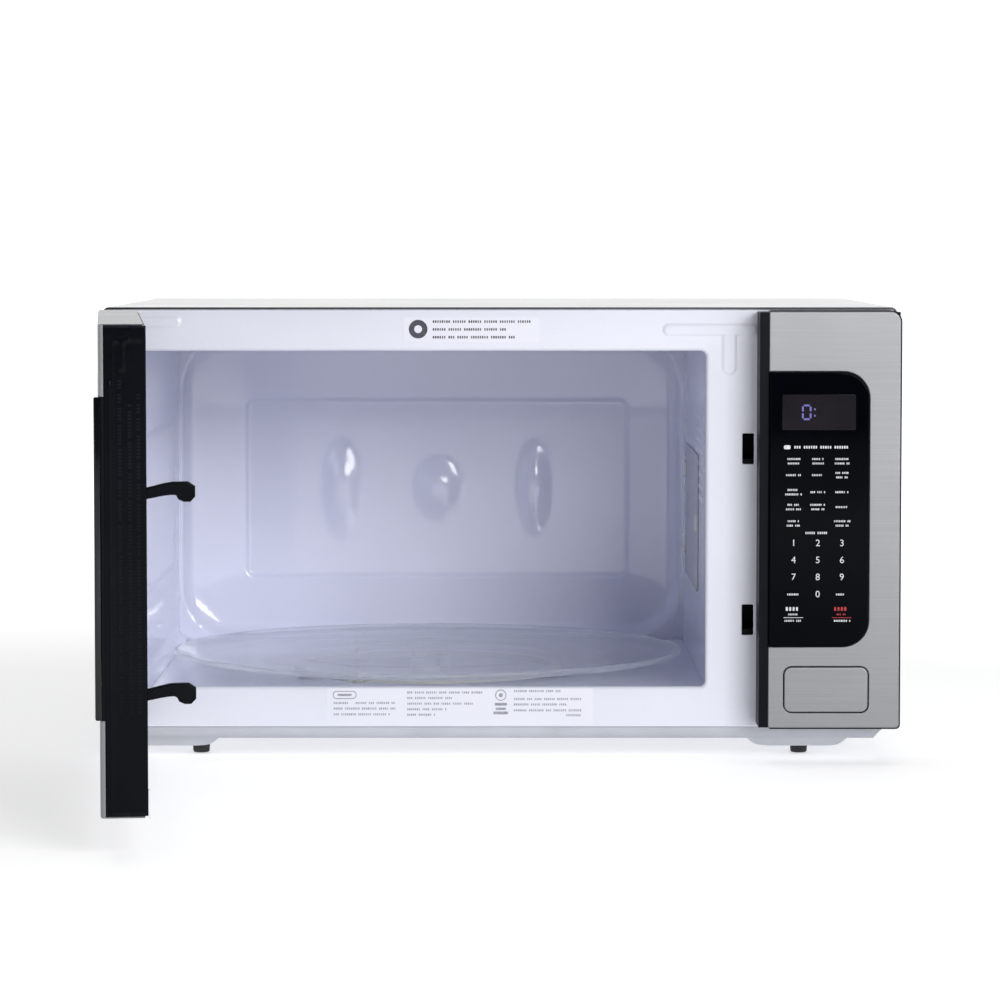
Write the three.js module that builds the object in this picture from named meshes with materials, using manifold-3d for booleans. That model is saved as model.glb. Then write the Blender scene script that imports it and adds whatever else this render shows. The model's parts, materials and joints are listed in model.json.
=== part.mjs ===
// Countertop microwave oven with its door open.
// Millimetres. X to the right, Y to the rear, Z up. The origin is on the surface the oven stands on,
// under the middle of the body's front face, and Y = 0 is the plane of the steel control panel.

import * as THREE from "three";
import { mergeVertices } from "three/addons/utils/BufferGeometryUtils.js";
import Module from "manifold-3d";

const wasm = await Module();
wasm.setup();

// ---- driving dimensions ----

const gap = 0.3; // between pieces that touch
const sheet = 1; // sheet steel thickness

const body = { half: 307, top: 350.5, flange: 33, rear: 484, panBottom: 16 };
const front = { half: 303.5, low: 26, high: 348.8 };
const opening = { left: -279.6, right: 158.8, low: 57.1, high: 316.8, radius: 4 };
const cavity = { left: -280.6, right: 160, floor: 52, roof: 317.8, back: 464 };
const recess = { radius: 150, depth: 9 };
const slot = { left: 186.9, right: 195.8, height: 23.7, lows: [97.3, 229.6] };

const door = { left: -307, right: 195.6, low: 28, high: 348.6, back: 31, openDegrees: 84.4 };
const hinge = { x: -295, y: 12, pinRadius: 3, plateHalf: 9, plateDepth: 5 };
const glass = { low: 91.5, high: 301.8, margin: 24.8, radius: 20, proud: 3 };
const screen = { left: -236, right: 140, low: 100, high: 292 };

const panel = { side: 198, left: 205, right: 306.5, low: 28, high: 348.6, back: 32.6 };
const display = { left: 214, right: 272, low: 256, high: 286 };
const button = { left: 216.8, right: 282.3, low: 40.4, high: 76.4, radius: 6 };

const latch = { left: 187.6, right: 193.6, reach: 31.4, head: 12, arm: 7.4, drop: 3, lift: 3.5 };
const plate = { x: -60, y: 249, radius: 209.5, low: 57.4, rim: 66 };
const track = { ringRadius: 108, wheelRadius: 7, wheelWidth: 6, axleRadius: 2 };
const foot = { radius: 7, x: 235, frontY: 84, rearY: 430, height: 5.2 };

// ---- finishes ----

function finish(color, roughness, metalness = 0) {
  return new THREE.MeshStandardMaterial({ color, roughness, metalness });
}

const stainless = finish(0xb9bbbd, 0.32, 1);
const enamel = finish(0xe3e4ee, 0.35);
const galvanised = finish(0xa4aab2, 0.45, 0.9);
const blackPlastic = finish(0x15161b, 0.45);
const blackGlass = finish(0x060608, 0.06);
const clearGlass = finish(0xdfeee8, 0.04);
const rubber = finish(0x18181a, 0.8);
const whitePlastic = finish(0xe9e9e6, 0.4);
const copper = finish(0xb06a3a, 0.4, 0.9);
const mica = finish(0xb8a98c, 0.7);
const boardGreen = finish(0x2c5b3a, 0.6);
const castIron = finish(0x54565a, 0.6, 0.7);

// ---- solids ----

function solidOf(geometry) {
  const bare = geometry.clone();
  bare.deleteAttribute("normal");
  bare.deleteAttribute("uv");
  const merged = mergeVertices(bare, 1e-4);
  return new wasm.Manifold(
    new wasm.Mesh({
      numProp: 3,
      vertProperties: merged.attributes.position.array,
      triVerts: new Uint32Array(merged.index.array),
    }),
  );
}

function geometryOf(solid) {
  const mesh = solid.getMesh();
  const geometry = new THREE.BufferGeometry();
  geometry.setAttribute("position", new THREE.BufferAttribute(mesh.vertProperties, 3));
  geometry.setIndex(new THREE.BufferAttribute(mesh.triVerts, 1));
  geometry.computeVertexNormals();
  return geometry;
}

function join(...shapes) {
  return geometryOf(shapes.map(solidOf).reduce((a, b) => a.add(b)));
}

function cut(shape, ...tools) {
  return geometryOf(tools.map(solidOf).reduce((a, b) => a.subtract(b), solidOf(shape)));
}

// A box between two X, two Y and two Z values.
function block(x0, x1, y0, y1, z0, z1) {
  const box = new THREE.BoxGeometry(x1 - x0, y1 - y0, z1 - z0);
  return box.translate((x0 + x1) / 2, (y0 + y1) / 2, (z0 + z1) / 2);
}

// A round bar centred on a point, along the given axis.
function rod(radius, length, axis, x, y, z, sides = 24, farRadius = radius) {
  const bar = new THREE.CylinderGeometry(farRadius, radius, length, sides);
  if (axis === "x") bar.rotateZ(-Math.PI / 2);
  if (axis === "z") bar.rotateX(Math.PI / 2);
  return bar.translate(x, y, z);
}

// A rectangle with its own radius at each corner: lower left, lower right, upper right, upper left.
function roundedRect(x0, x1, z0, z1, radii) {
  const corners = Array.isArray(radii) ? radii : Array(4).fill(radii);
  const [lowLeft, lowRight, highRight, highLeft] = corners;
  const outline = new THREE.Shape();
  outline.moveTo(x0 + lowLeft, z0);
  outline.lineTo(x1 - lowRight, z0);
  if (lowRight) outline.absarc(x1 - lowRight, z0 + lowRight, lowRight, -Math.PI / 2, 0);
  outline.lineTo(x1, z1 - highRight);
  if (highRight) outline.absarc(x1 - highRight, z1 - highRight, highRight, 0, Math.PI / 2);
  outline.lineTo(x0 + highLeft, z1);
  if (highLeft) outline.absarc(x0 + highLeft, z1 - highLeft, highLeft, Math.PI / 2, Math.PI);
  outline.lineTo(x0, z0 + lowLeft);
  if (lowLeft) outline.absarc(x0 + lowLeft, z0 + lowLeft, lowLeft, Math.PI, 1.5 * Math.PI);
  return outline;
}

// An outline in X and Z given depth from y0 to y1.
function slab(outline, y0, y1, arcSteps = 4) {
  const deep = new THREE.ExtrudeGeometry(outline, {
    depth: y1 - y0,
    bevelEnabled: false,
    curveSegments: arcSteps,
  });
  return deep.rotateX(Math.PI / 2).translate(0, y1, 0);
}

// A ring or bowl about a vertical axis from [radius, height] pairs that close on themselves.
function turned(profile, x, y, sides) {
  const points = profile.map(([r, z]) => new THREE.Vector2(r, z));
  const ring = new THREE.LatheGeometry(points, sides);
  return ring.rotateX(Math.PI / 2).translate(x, y, 0);
}

// A coil spring: a round wire led along a helix.
class Helix extends THREE.Curve {
  constructor(radius, length, turns) {
    super();
    Object.assign(this, { radius, length, turns });
  }
  getPoint(t, target = new THREE.Vector3()) {
    const angle = 2 * Math.PI * this.turns * t;
    return target.set(
      this.radius * Math.cos(angle),
      this.radius * Math.sin(angle),
      this.length * t,
    );
  }
}

function spring(radius, length, turns, wire) {
  const section = new THREE.Shape().absarc(0, 0, wire / 2, 0, 2 * Math.PI);
  return new THREE.ExtrudeGeometry(section, {
    extrudePath: new Helix(radius, length, turns),
    steps: turns * 8,
    curveSegments: 3,
  });
}

function part(group, name, geometry, material) {
  const mesh = new THREE.Mesh(geometry, material);
  mesh.name = name;
  group.add(mesh);
  return mesh;
}

// ---- body shell ----

function frontFrame() {
  const y0 = body.flange;
  const y1 = y0 + sheet;
  const face = slab(roundedRect(-front.half, front.half, front.low, front.high, 3), y0, y1);
  const mouth = roundedRect(opening.left, opening.right, opening.low, opening.high, opening.radius);
  const slots = slot.lows.map((low) => block(slot.left, slot.right, y0 - 1, y1 + 1, low, low + slot.height));
  const leverHole = block(228, 268, y0 - 1, y1 + 1, 38, 96);
  return cut(face, slab(mouth, y0 - 1, y1 + 1), ...slots, leverHole);
}

function addCavity(group) {
  const { left, right, floor, roof, back } = cavity;
  const start = body.flange + sheet + gap;
  const y0 = start;
  const y1 = back + sheet;
  const wallLow = floor + gap;
  const wallHigh = roof - gap;
  part(group, "cavity_roof", block(left - sheet, right + sheet, y0, y1, roof, roof + sheet), enamel);
  const deck = block(left - sheet, right + sheet, y0, y1, floor - sheet, floor);
  const dish = rod(recess.radius + sheet, recess.depth + sheet, "z", plate.x, plate.y,
    floor - (recess.depth + sheet) / 2, 48);
  const hollow = rod(recess.radius, recess.depth + 1, "z", plate.x, plate.y,
    floor - recess.depth / 2 + 0.5, 48);
  const shaftHole = rod(7, 20, "z", plate.x, plate.y, floor - recess.depth, 20);
  part(group, "cavity_floor", cut(join(deck, dish), hollow, shaftHole), enamel);
  part(group, "cavity_left_wall", block(left - sheet, left, y0, back - gap, wallLow, wallHigh), enamel);
  const rightWall = block(right, right + sheet, y0, back - gap, wallLow, wallHigh);
  const port = block(right - 1, right + 2, 235, 305, 130, 210);
  part(group, "cavity_right_wall", cut(rightWall, port), enamel);
  part(group, "cavity_back_wall", block(left - sheet, right + sheet, back, y1, wallLow, wallHigh), enamel);
  part(group, "waveguide_cover", block(right - 1.1, right - gap, 175, 375, 118, 229), mica);
}

function addShell(group) {
  const wrapLow = 20;
  const outer = roundedRect(-body.half, body.half, wrapLow, body.top, [0, 0, 5, 5]);
  const innerHalf = body.half - sheet;
  const inner = roundedRect(-innerHalf, innerHalf, wrapLow - 1, body.top - sheet, [0, 0, 4, 4]);
  const wrap = cut(slab(outer, body.flange, body.rear - 3), slab(inner, body.flange - 1, body.rear));
  part(group, "outer_wrap", wrap, stainless);

  const rearY = body.rear - sheet - 1.5;
  const backOutline = roundedRect(-body.half + 1, body.half - 1, wrapLow, body.top - sheet - 1, 3);
  const back = slab(backOutline, rearY, rearY + sheet);
  const louvres = [];
  for (const centre of [-190, 240]) {
    for (let i = -5; i <= 5; i += 1) {
      const x = centre + i * 9;
      louvres.push(block(x - 2, x + 2, rearY - 1, rearY + 3, 232, 292));
    }
  }
  const glandHole = rod(9.3, 10, "y", 250, rearY, 70, 20);
  part(group, "rear_panel", cut(back, ...louvres, glandHole), galvanised);
  const gland = join(
    rod(9, 10, "y", 250, rearY + 0.5, 70, 20),
    rod(12, 1.2, "y", 250, rearY + sheet + gap + 0.6, 70, 20),
  );
  part(group, "cord_gland", cut(gland, rod(4, 40, "y", 250, rearY, 70, 12)), blackPlastic);

  const panHigh = front.low - 1;
  const tray = block(-298, 298, 36, rearY - gap, body.panBottom, panHigh);
  const well = block(-297, 297, 37, rearY - gap - 1, body.panBottom + sheet, panHigh + 1);
  const pads = [];
  const padHollows = [];
  const padHeight = body.panBottom - foot.height - gap;
  for (const x of [-foot.x, foot.x]) {
    for (const y of [foot.frontY, foot.rearY]) {
      const z = body.panBottom - padHeight / 2;
      pads.push(rod(22, padHeight + 0.02, "z", x, y, z + 0.01, 16, 30));
      padHollows.push(rod(21, padHeight + 0.02, "z", x, y, z + 0.01 + sheet, 16, 29));
    }
  }
  part(group, "base_pan", cut(join(tray, ...pads), well, ...padHollows), galvanised);

  const names = ["foot_front_left", "foot_rear_left", "foot_front_right", "foot_rear_right"];
  let index = 0;
  for (const x of [-foot.x, foot.x]) {
    for (const y of [foot.frontY, foot.rearY]) {
      const pad = rod(foot.radius - 0.6, foot.height, "z", x, y, foot.height / 2, 24, foot.radius);
      part(group, names[index], pad, rubber);
      index += 1;
    }
  }
}

function hingePlate(plateLow, pinLow, pinHigh) {
  const { x, y, plateHalf, pinRadius } = hinge;
  const thickness = 1.5;
  const middle = plateLow + thickness / 2;
  const nose = rod(plateHalf, thickness, "z", x, y, middle, 20);
  const tail = block(x - plateHalf, x + plateHalf, y, body.flange - gap, plateLow, plateLow + thickness);
  const pin = rod(pinRadius, pinHigh - pinLow, "z", x, y, (pinLow + pinHigh) / 2, 16);
  return join(nose, tail, pin);
}

// ---- control side ----

function addControlPanel(group) {
  const { side, left, right, low, high, back } = panel;
  const wall = 2;
  const face = 1.3;
  const housing = block(side, right - 1.3, face, back, low + 1.3, high - 1.3);
  const hollow = block(side + wall, right - 1.3 - wall, face + wall, back + 1,
    low + 1.3 + wall, high - 1.3 - wall);
  const lip = block(side, left - gap, 0, face + 1, low + 1.3, high - 1.3);
  const window = block(display.left, display.right, -1, face + wall + 1, display.low, display.high);
  const well = slab(
    roundedRect(button.left, button.right, button.low, button.high, button.radius), -1, face + wall + 1);
  part(group, "panel_frame", cut(join(housing, lip), hollow, window, well), blackPlastic);

  const skinDepth = 1;
  const outline = roundedRect(left, right, low, high, [0.5, 2.5, 8, 0.5]);
  const skinFace = slab(outline, 0, skinDepth);
  const rightReturn = block(right - skinDepth, right, 0, 26, low + 3, high - 8.5);
  const glassEdge = right - glass.margin;
  const glassHole = slab(
    roundedRect(left - 1, glassEdge, glass.low, glass.high, [0, glass.radius, glass.radius, 0]),
    -1, skinDepth + 1, 8);
  const buttonHole = slab(
    roundedRect(button.left, button.right, button.low, button.high, button.radius), -1, skinDepth + 1);
  part(group, "panel_skin", cut(join(skinFace, rightReturn), glassHole, buttonHole), stainless);

  const r = glass.radius - gap;
  const pane = slab(
    roundedRect(left + gap, glassEdge - gap, glass.low + gap, glass.high - gap, [0.5, r, r, 0.5]),
    -glass.proud, face - gap, 8);
  part(group, "keypad_glass", pane, blackGlass);

  part(group, "display_module",
    block(display.left + 1, display.right - 1, face + gap, 12, display.low + 1, display.high - 1), blackPlastic);
  const board = join(
    block(214, 296, 18, 19.6, 96, 300),
    block(222, 252, 19.5, 32, 104, 130),
    block(262, 284, 19.5, 31, 108, 124),
    block(224, 236, 19.5, 30, 150, 172),
    block(262, 280, 19.5, 26, 160, 190),
  );
  part(group, "control_board", board, boardGreen);
}

function addButton(group) {
  const { left, right, low, high, radius } = button;
  const edge = 0.7;
  const outline = roundedRect(left + edge, right - edge, low + edge, high - edge, radius - edge);
  const middleX = (left + right) / 2;
  const middleZ = (low + high) / 2;
  const cap = slab(outline, -0.4, 7);
  const stem = rod(4, 20.5, "y", middleX, 16.5, middleZ, 16);
  part(group, "release_button", join(cap, stem), stainless);
  const coil = spring(6.5, 14, 5, 1.1);
  coil.rotateX(-Math.PI / 2).translate(middleX, 8, middleZ);
  part(group, "button_spring", coil, galvanised);

  // The seat behind the spring, pierced for the stem, is a bridge across the machine space.
  const seat = cut(
    block(button.left - 2, button.right + 2, 23, 25, middleZ - 10, middleZ + 10),
    rod(4.6, 10, "y", middleX, 24, middleZ, 16),
  );
  part(group, "button_bridge", seat, blackPlastic);
}

// The lever turns about an X axis: the button pushes its low pad back, and the finger on its nose
// rises under the lower hook.
const lever = { x0: 232, x1: 264, pivotY: 40, pivotZ: 88 };

function addLever(group) {
  const { x0, x1, pivotY, pivotZ } = lever;
  const boss = rod(4.5, x1 - x0, "x", (x0 + x1) / 2, pivotY, pivotZ, 16);
  const arm = block(x0 + 4, x1 - 4, 27.4, 30.4, 50, 86);
  const neck = block(x0 + 4, x1 - 4, 28, 40, 82, 90);
  const nose = block(x0 + 4, x1 - 4, 40, 58, 86, 91);
  const finger = block(188, x0 + 6, 52, 58, 91, 96.5);
  const bore = rod(2.6, 60, "x", (x0 + x1) / 2, pivotY, pivotZ, 12);
  part(group, "release_lever", cut(join(boss, arm, neck, nose, finger), bore), blackPlastic);
}

function addInterlock(group) {
  const x0 = 181.5;
  const x1 = 201;
  const wall = 2;
  const y0 = body.flange + sheet + gap;
  const y1 = 72;
  const boxLow = 88;
  const boxHigh = 264;
  const shell = block(x0, x1, y0, y1, boxLow, boxHigh);
  const pockets = slot.lows.map((low) =>
    block(x0 + wall, x1 - wall, y0 - 1, y1 - wall, low - 1, low + slot.height + 4));
  const middle = block(x0 + wall, x1 - wall, y0 - 1, y1 - wall, 130, 220);
  const fingerWay = block(x0 + wall, x1 + 1, 50, 61, 89.5, 104);
  const crest = hooks.map((hook) => block(x0 + wall, x1 - wall, y0 + 3, y0 + 14, slotFloor(hook) - 12,
    hook.headLow - gap));
  const box = cut(shell, ...pockets, middle, fingerWay);
  const shelf = block(x1 - 1, 268, y0 + 2, y0 + 4, 94, 130);
  const ears = [lever.x0 - 3.3, lever.x1 + 0.3].map((x) => block(x, x + 3, y0, 46, 82, 96));
  const pin = rod(2.2, lever.x1 - lever.x0 + 8, "x", (lever.x0 + lever.x1) / 2, lever.pivotY, lever.pivotZ, 12);
  part(group, "interlock_bracket", join(box, ...crest, shelf, ...ears, pin), blackPlastic);

  const switches = [
    ["primary_switch", 236],
    ["secondary_switch", 200],
    ["monitor_switch", 150],
  ];
  for (const [name, low] of switches) {
    const bodyBlock = block(x1 + gap, x1 + gap + 10, y0 + 6, y0 + 26, low, low + 28);
    const blade = block(x1 + gap + 3, x1 + gap + 7, y0 + 25, y0 + 34, low + 8, low + 9.2);
    part(group, name, join(bodyBlock, blade), blackPlastic);
  }
}

// ---- door, drawn closed and then swung open about its pins ----

const hooks = [
  { rootLow: 103.6, headLow: 101.8 },
  { rootLow: 234.6, headLow: 233.4 },
];

function slotFloor(hook) {
  return Math.max(...slot.lows.filter((low) => low < hook.headLow));
}

// The corner notches that the body's hinge plates turn in.
function doorNotches() {
  const { x, y, plateHalf, plateDepth } = hinge;
  const sideways = [door.left - 5, x + plateHalf + 1.2, y - plateHalf - 2.1, door.back + 5];
  return [
    block(...sideways, door.high - plateDepth - 1, door.high + 1),
    block(...sideways, door.low - 1, door.low + plateDepth + 1),
  ];
}

function pinHoles(radius) {
  return [
    rod(radius, 30, "z", hinge.x, hinge.y, door.high - 10, 16),
    rod(radius, 30, "z", hinge.x, hinge.y, door.low + 10, 16),
  ];
}

function addDoor(group) {
  const { left, right, low, high, back } = door;
  const skin = 0.8;
  const outer = block(left, right, 0, 20, low, high);
  const inside = block(left + skin, right - skin, skin, 21, low + skin, high - skin);
  const freeTrim = block(right - skin - 1, right + 1, 3, 21, low - 1, high + 1);
  const sideTrim = block(left - 1, left + skin + 1, 14, 21, low - 1, high + 1);
  const bandLeft = left + glass.margin;
  const bandOutline = roundedRect(bandLeft, right + 5, glass.low, glass.high, [glass.radius, 0, 0, glass.radius]);
  const band = slab(bandOutline, -1, skin + 0.2, 8);
  const bandEnd = block(right - 5, right + 5, -1, 4, glass.low, glass.high);
  const notches = doorNotches();
  part(group, "door_skin", cut(outer, inside, freeTrim, sideTrim, band, bandEnd, ...notches), stainless);

  const r = glass.radius - gap;
  const pane = slab(
    roundedRect(bandLeft + gap, right, glass.low + gap, glass.high - gap, [r, 0.5, 0.5, r]),
    -glass.proud, 1, 8);
  part(group, "door_glass", pane, blackGlass);

  const frameBack = 20;
  const frame = block(left + skin + gap, right, skin + 0.5, frameBack, low + skin + gap, high - skin - gap);
  const frameWindow = block(screen.left - 4, screen.right + 4, -1, frameBack + 1,
    screen.low - 4, screen.high + 4);
  const skinEdge = block(right - skin - gap, right + 1, -1, 3 + gap, low, high);
  const pivotSpace = [
    block(left - 1, -262, 4, 19, high - 20, high - 5),
    block(left - 1, -262, 4, 19, low + 5, low + 20),
  ];
  const hollows = [frameWindow, skinEdge, ...pivotSpace, ...notches, ...pinHoles(hinge.pinRadius + 0.6)];
  part(group, "door_frame", cut(frame, ...hollows), blackPlastic);

  const pivotLevels = [
    ["door_pivot_top", high - 19.5, high - 6.2],
    ["door_pivot_bottom", low + 6.2, low + 19.5],
  ];
  for (const [name, z0, z1] of pivotLevels) {
    const pivot = block(left + 1.2, -262.5, 4.5, 18.5, z0, z1);
    const bore = rod(hinge.pinRadius + 0.15, 40, "z", hinge.x, hinge.y, (z0 + z1) / 2, 16);
    part(group, name, cut(pivot, bore), galvanised);
  }

  const innerLeft = left + 6;
  const coverLow = low + 1.2;
  const coverHigh = high - 1.2;
  const chokeLeft = -286;
  const chokeRight = 176;
  const chokeLow = 46;
  const chokeHigh = 330;
  const cover = block(innerLeft, right, frameBack + gap, back, coverLow, coverHigh);
  const coverHole = block(chokeLeft, chokeRight, frameBack - 1, back + 1, chokeLow, chokeHigh);
  const barChannel = block(latch.left - 0.6, latch.right + 0.6, frameBack, 27.6, 90, 292);
  const hookSlots = hooks.map((hook) => block(latch.left - 0.6, latch.right + 0.6, 26, back + 1,
    hook.rootLow - latch.drop - 1, hook.rootLow + latch.arm + latch.lift + 1.9));
  const dripLip = slab(roundedRect(184, right, low - 2.4, low + 12, 0), back - 1, back + 1.6);
  part(group, "choke_cover",
    join(cut(cover, coverHole, barChannel, ...hookSlots, ...notches), dripLip), blackPlastic);

  const panFront = frameBack + gap;
  const pan = block(chokeLeft + gap, chokeRight - gap, panFront, 28, chokeLow + gap, chokeHigh - gap);
  const panHollow = block(chokeLeft + 14, chokeRight - 14, panFront + sheet, 29, chokeLow + 14, chokeHigh - 14);
  part(group, "choke_panel", cut(pan, panHollow), enamel);
  part(group, "inner_window",
    block(screen.left, screen.right, panFront + sheet + gap, frameBack + 3.6, screen.low, screen.high), clearGlass);
}

function addLatch(group) {
  const { left, right, reach, head, arm } = latch;
  const inner = door.back;
  const bar = block(left, right, 21, 27, 95, 262);
  const shapes = hooks.map(({ rootLow, headLow }) => {
    const rise = 4.6;
    const outline = new THREE.Shape();
    outline.moveTo(24, rootLow);
    outline.lineTo(inner + reach - head - 4, rootLow + rise * 0.7);
    outline.lineTo(inner + reach - head, headLow + 3);
    outline.lineTo(inner + reach - head + 3, headLow);
    outline.lineTo(inner + reach - 4, headLow);
    outline.lineTo(inner + reach, headLow + 4);
    outline.lineTo(inner + reach - 1, rootLow + arm + rise - 3);
    outline.lineTo(inner + reach - 5, rootLow + arm + rise);
    outline.lineTo(inner + reach - head, rootLow + arm + rise);
    outline.lineTo(24, rootLow + arm);
    const hook = new THREE.ExtrudeGeometry(outline, { depth: right - left, bevelEnabled: false });
    // The outline is drawn in Y and Z: stand it up so that its depth runs along X.
    const upright = new THREE.Matrix4().set(0, 0, 1, left, 1, 0, 0, 0, 0, 1, 0, 0, 0, 0, 0, 1);
    return hook.applyMatrix4(upright);
  });
  part(group, "latch_bar", join(bar, ...shapes), blackPlastic);
  const coil = spring(2, 24, 6, 0.8);
  coil.translate((left + right) / 2, 24, 264);
  part(group, "latch_spring", coil, galvanised);
}

// ---- turntable ----

function addTurntable(group) {
  const { x, y, radius, low, rim } = plate;
  const wall = 5;
  const profile = [
    [0, low],
    [radius - 26, low],
    [radius - 2, rim - wall],
    [radius, rim - 2],
    [radius - 1.5, rim],
    [radius - 5, rim - 0.6],
    [radius - 28, low + wall],
    [0, low + wall],
  ];
  const dish = turned(profile, x, y, 72);
  part(group, "glass_turntable", dish, clearGlass);
}

function addCoupler(group) {
  const { x, y, low } = plate;
  const base = cavity.floor - recess.depth;
  const hub = rod(12, 5, "z", x, y, base + 5, 18);
  const arms = [0, 1, 2].map((i) => {
    const lobe = rod(6, low - gap - base - 2.5, "z", 14, 0, (low - gap + base + 2.5) / 2, 12);
    return lobe.rotateZ((i * 2 * Math.PI) / 3).translate(x, y, 0);
  });
  const shaft = rod(3, 22, "z", x, y, base - 5, 12);
  part(group, "turntable_coupler", join(hub, ...arms, shaft), whitePlastic);
}

function addRoller(group) {
  const { ringRadius, wheelRadius, wheelWidth, axleRadius } = track;
  const floor = cavity.floor - recess.depth;
  const axleZ = floor + wheelRadius;
  const ring = turned(
    [
      [ringRadius - 5, axleZ - 2.6],
      [ringRadius + 2, axleZ - 2.6],
      [ringRadius + 2, axleZ + 2.6],
      [ringRadius - 5, axleZ + 2.6],
      [ringRadius - 5, axleZ - 2.6],
    ],
    plate.x, plate.y, 48);
  const axleLength = wheelWidth + 6;
  const axles = [0, 1, 2].map((i) => {
    const shaft = rod(axleRadius, axleLength, "x", ringRadius + 1 + axleLength / 2, 0, axleZ, 12);
    const stop = rod(axleRadius + 1.4, 1.6, "x", ringRadius + 1 + axleLength, 0, axleZ, 12);
    return join(shaft, stop).rotateZ((i * 2 * Math.PI) / 3).translate(plate.x, plate.y, 0);
  });
  part(group, "roller_ring", join(ring, ...axles), whitePlastic);
  for (let i = 0; i < 3; i += 1) {
    const centre = ringRadius + 2.6 + wheelWidth / 2;
    const tyre = rod(wheelRadius, wheelWidth, "x", centre, 0, axleZ, 24);
    const wheel = cut(tyre, rod(axleRadius + 0.3, 30, "x", centre, 0, axleZ, 12));
    wheel.rotateZ((i * 2 * Math.PI) / 3).translate(plate.x, plate.y, 0);
    part(group, `roller_wheel_${i + 1}`, wheel, whitePlastic);
  }
}

// ---- machine space, to the right of the cavity ----

function addMachinery(group) {
  const wallX = cavity.right + sheet + gap;
  const panTop = body.panBottom + sheet + gap;
  const guide = cut(
    block(wallX, wallX + 32, 225, 315, 96, 226),
    block(wallX - 1, wallX + 31, 226, 314, 97, 225),
    rod(10.5, 10, "x", wallX + 32, 270, 186, 16),
  );
  part(group, "waveguide", guide, galvanised);

  const tubeX = wallX + 32 + gap;
  const fins = [];
  for (let i = 0; i < 6; i += 1) {
    fins.push(block(tubeX + 12 + i * 7, tubeX + 13.2 + i * 7, 232, 308, 150, 222));
  }
  const tube = join(
    block(tubeX, tubeX + 1.6, 228, 312, 146, 226),
    rod(20, 58, "x", tubeX + 30, 270, 186, 20),
    block(tubeX + 50, tubeX + 51.6, 228, 312, 146, 226),
    block(tubeX + 51, tubeX + 74, 246, 294, 168, 206),
    rod(9, 26, "x", tubeX - 10, 270, 186, 16),
    ...fins,
  );
  part(group, "magnetron", tube, galvanised);

  const core = cut(
    block(184, 284, 150, 206, panTop, panTop + 84),
    block(200, 222, 149, 207, panTop + 16, panTop + 68),
    block(246, 268, 149, 207, panTop + 16, panTop + 68),
  );
  part(group, "transformer_core", core, castIron);
  const limb = [221.7, 246.3];
  const coils = cut(
    block(201, 267, 132, 224, panTop + 17, panTop + 67),
    block(limb[0], limb[1], 120, 240, panTop + 15.7, panTop + 68.3),
    block(180, 290, 149.7, 206.3, panTop + 67.7, panTop + 90),
  );
  const ties = [
    block(201, 267, 132, 148, panTop + 17, panTop + 67),
    block(201, 267, 208, 224, panTop + 17, panTop + 67),
  ];
  part(group, "transformer_windings", join(coils, ...ties), copper);

  const can = new THREE.Shape();
  can.absarc(-25, 0, 16, Math.PI / 2, 1.5 * Math.PI);
  can.absarc(25, 0, 16, -Math.PI / 2, Math.PI / 2);
  const oval = new THREE.ExtrudeGeometry(can, { depth: 96, bevelEnabled: false, curveSegments: 8 });
  oval.rotateX(Math.PI / 2).translate(240, 436, panTop + 20);
  part(group, "hv_capacitor", oval, galvanised);
  part(group, "hv_diode", rod(4, 30, "z", 292, 330, panTop + 22, 12), blackPlastic);

  addFan(group);

  const motorTop = cavity.floor - recess.depth - sheet - gap;
  const motorCan = rod(24, motorTop - panTop - 2, "z", plate.x, plate.y, (motorTop + panTop + 2) / 2, 24);
  const feet = block(plate.x - 32, plate.x + 32, plate.y - 6, plate.y + 6, motorTop - 1.5, motorTop);
  const shaftWell = rod(3.4, 60, "z", plate.x, plate.y, motorTop, 12);
  part(group, "turntable_motor", cut(join(motorCan, feet), shaftWell), galvanised);

  part(group, "oven_lamp", join(
    block(wallX, wallX + 3, 150, 190, 240, 266),
    rod(9, 34, "x", wallX + 18, 170, 253, 16),
  ), whitePlastic);
  part(group, "thermal_cutout", join(
    block(wallX, wallX + 1, 180, 206, 272, 286),
    rod(6.5, 10, "x", wallX + 5, 193, 279, 14),
  ), blackPlastic);
  part(group, "filter_board", join(
    block(190, 292, 330, 400, 318, 319.6),
    block(200, 232, 345, 380, 300, 318.5),
    block(246, 282, 345, 385, 296, 318.5),
  ), boardGreen);
}

const fan = { x: 236, y: 452, z: 262, radius: 44 };

function addFan(group) {
  const { x, y, z, radius } = fan;
  const shroud = cut(
    block(x - 56, x + 56, y - 12, y + 10, z - 52, z + 52),
    rod(radius + 3, 60, "y", x, y, z, 36),
  );
  const struts = [-50, 5].map((start) => block(x + start, x + start + 45, y - 14, y - 11, z - 4, z + 4));
  part(group, "fan_shroud", join(shroud, ...struts), blackPlastic);
  const motorCase = block(x - 24, x + 24, y - 44, y - 17, z - 22, z + 22);
  const motor = join(motorCase, rod(3, 6, "y", x, y - 15, z, 12));
  part(group, "fan_motor", motor, castIron);
}

function addFanRotor(group) {
  const { x, y, z, radius } = fan;
  const hub = rod(11, 14, "y", 0, 0, 0, 20);
  const blades = [];
  for (let i = 0; i < 6; i += 1) {
    const blade = block(-11, 11, -0.8, 0.8, 8, radius);
    blades.push(blade.rotateZ(0.5).rotateY((i * Math.PI) / 3));
  }
  part(group, "fan_rotor", join(hub, ...blades).translate(x, y, z), whitePlastic);
}

// ---- the oven ----

const oven = new THREE.Group();

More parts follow.
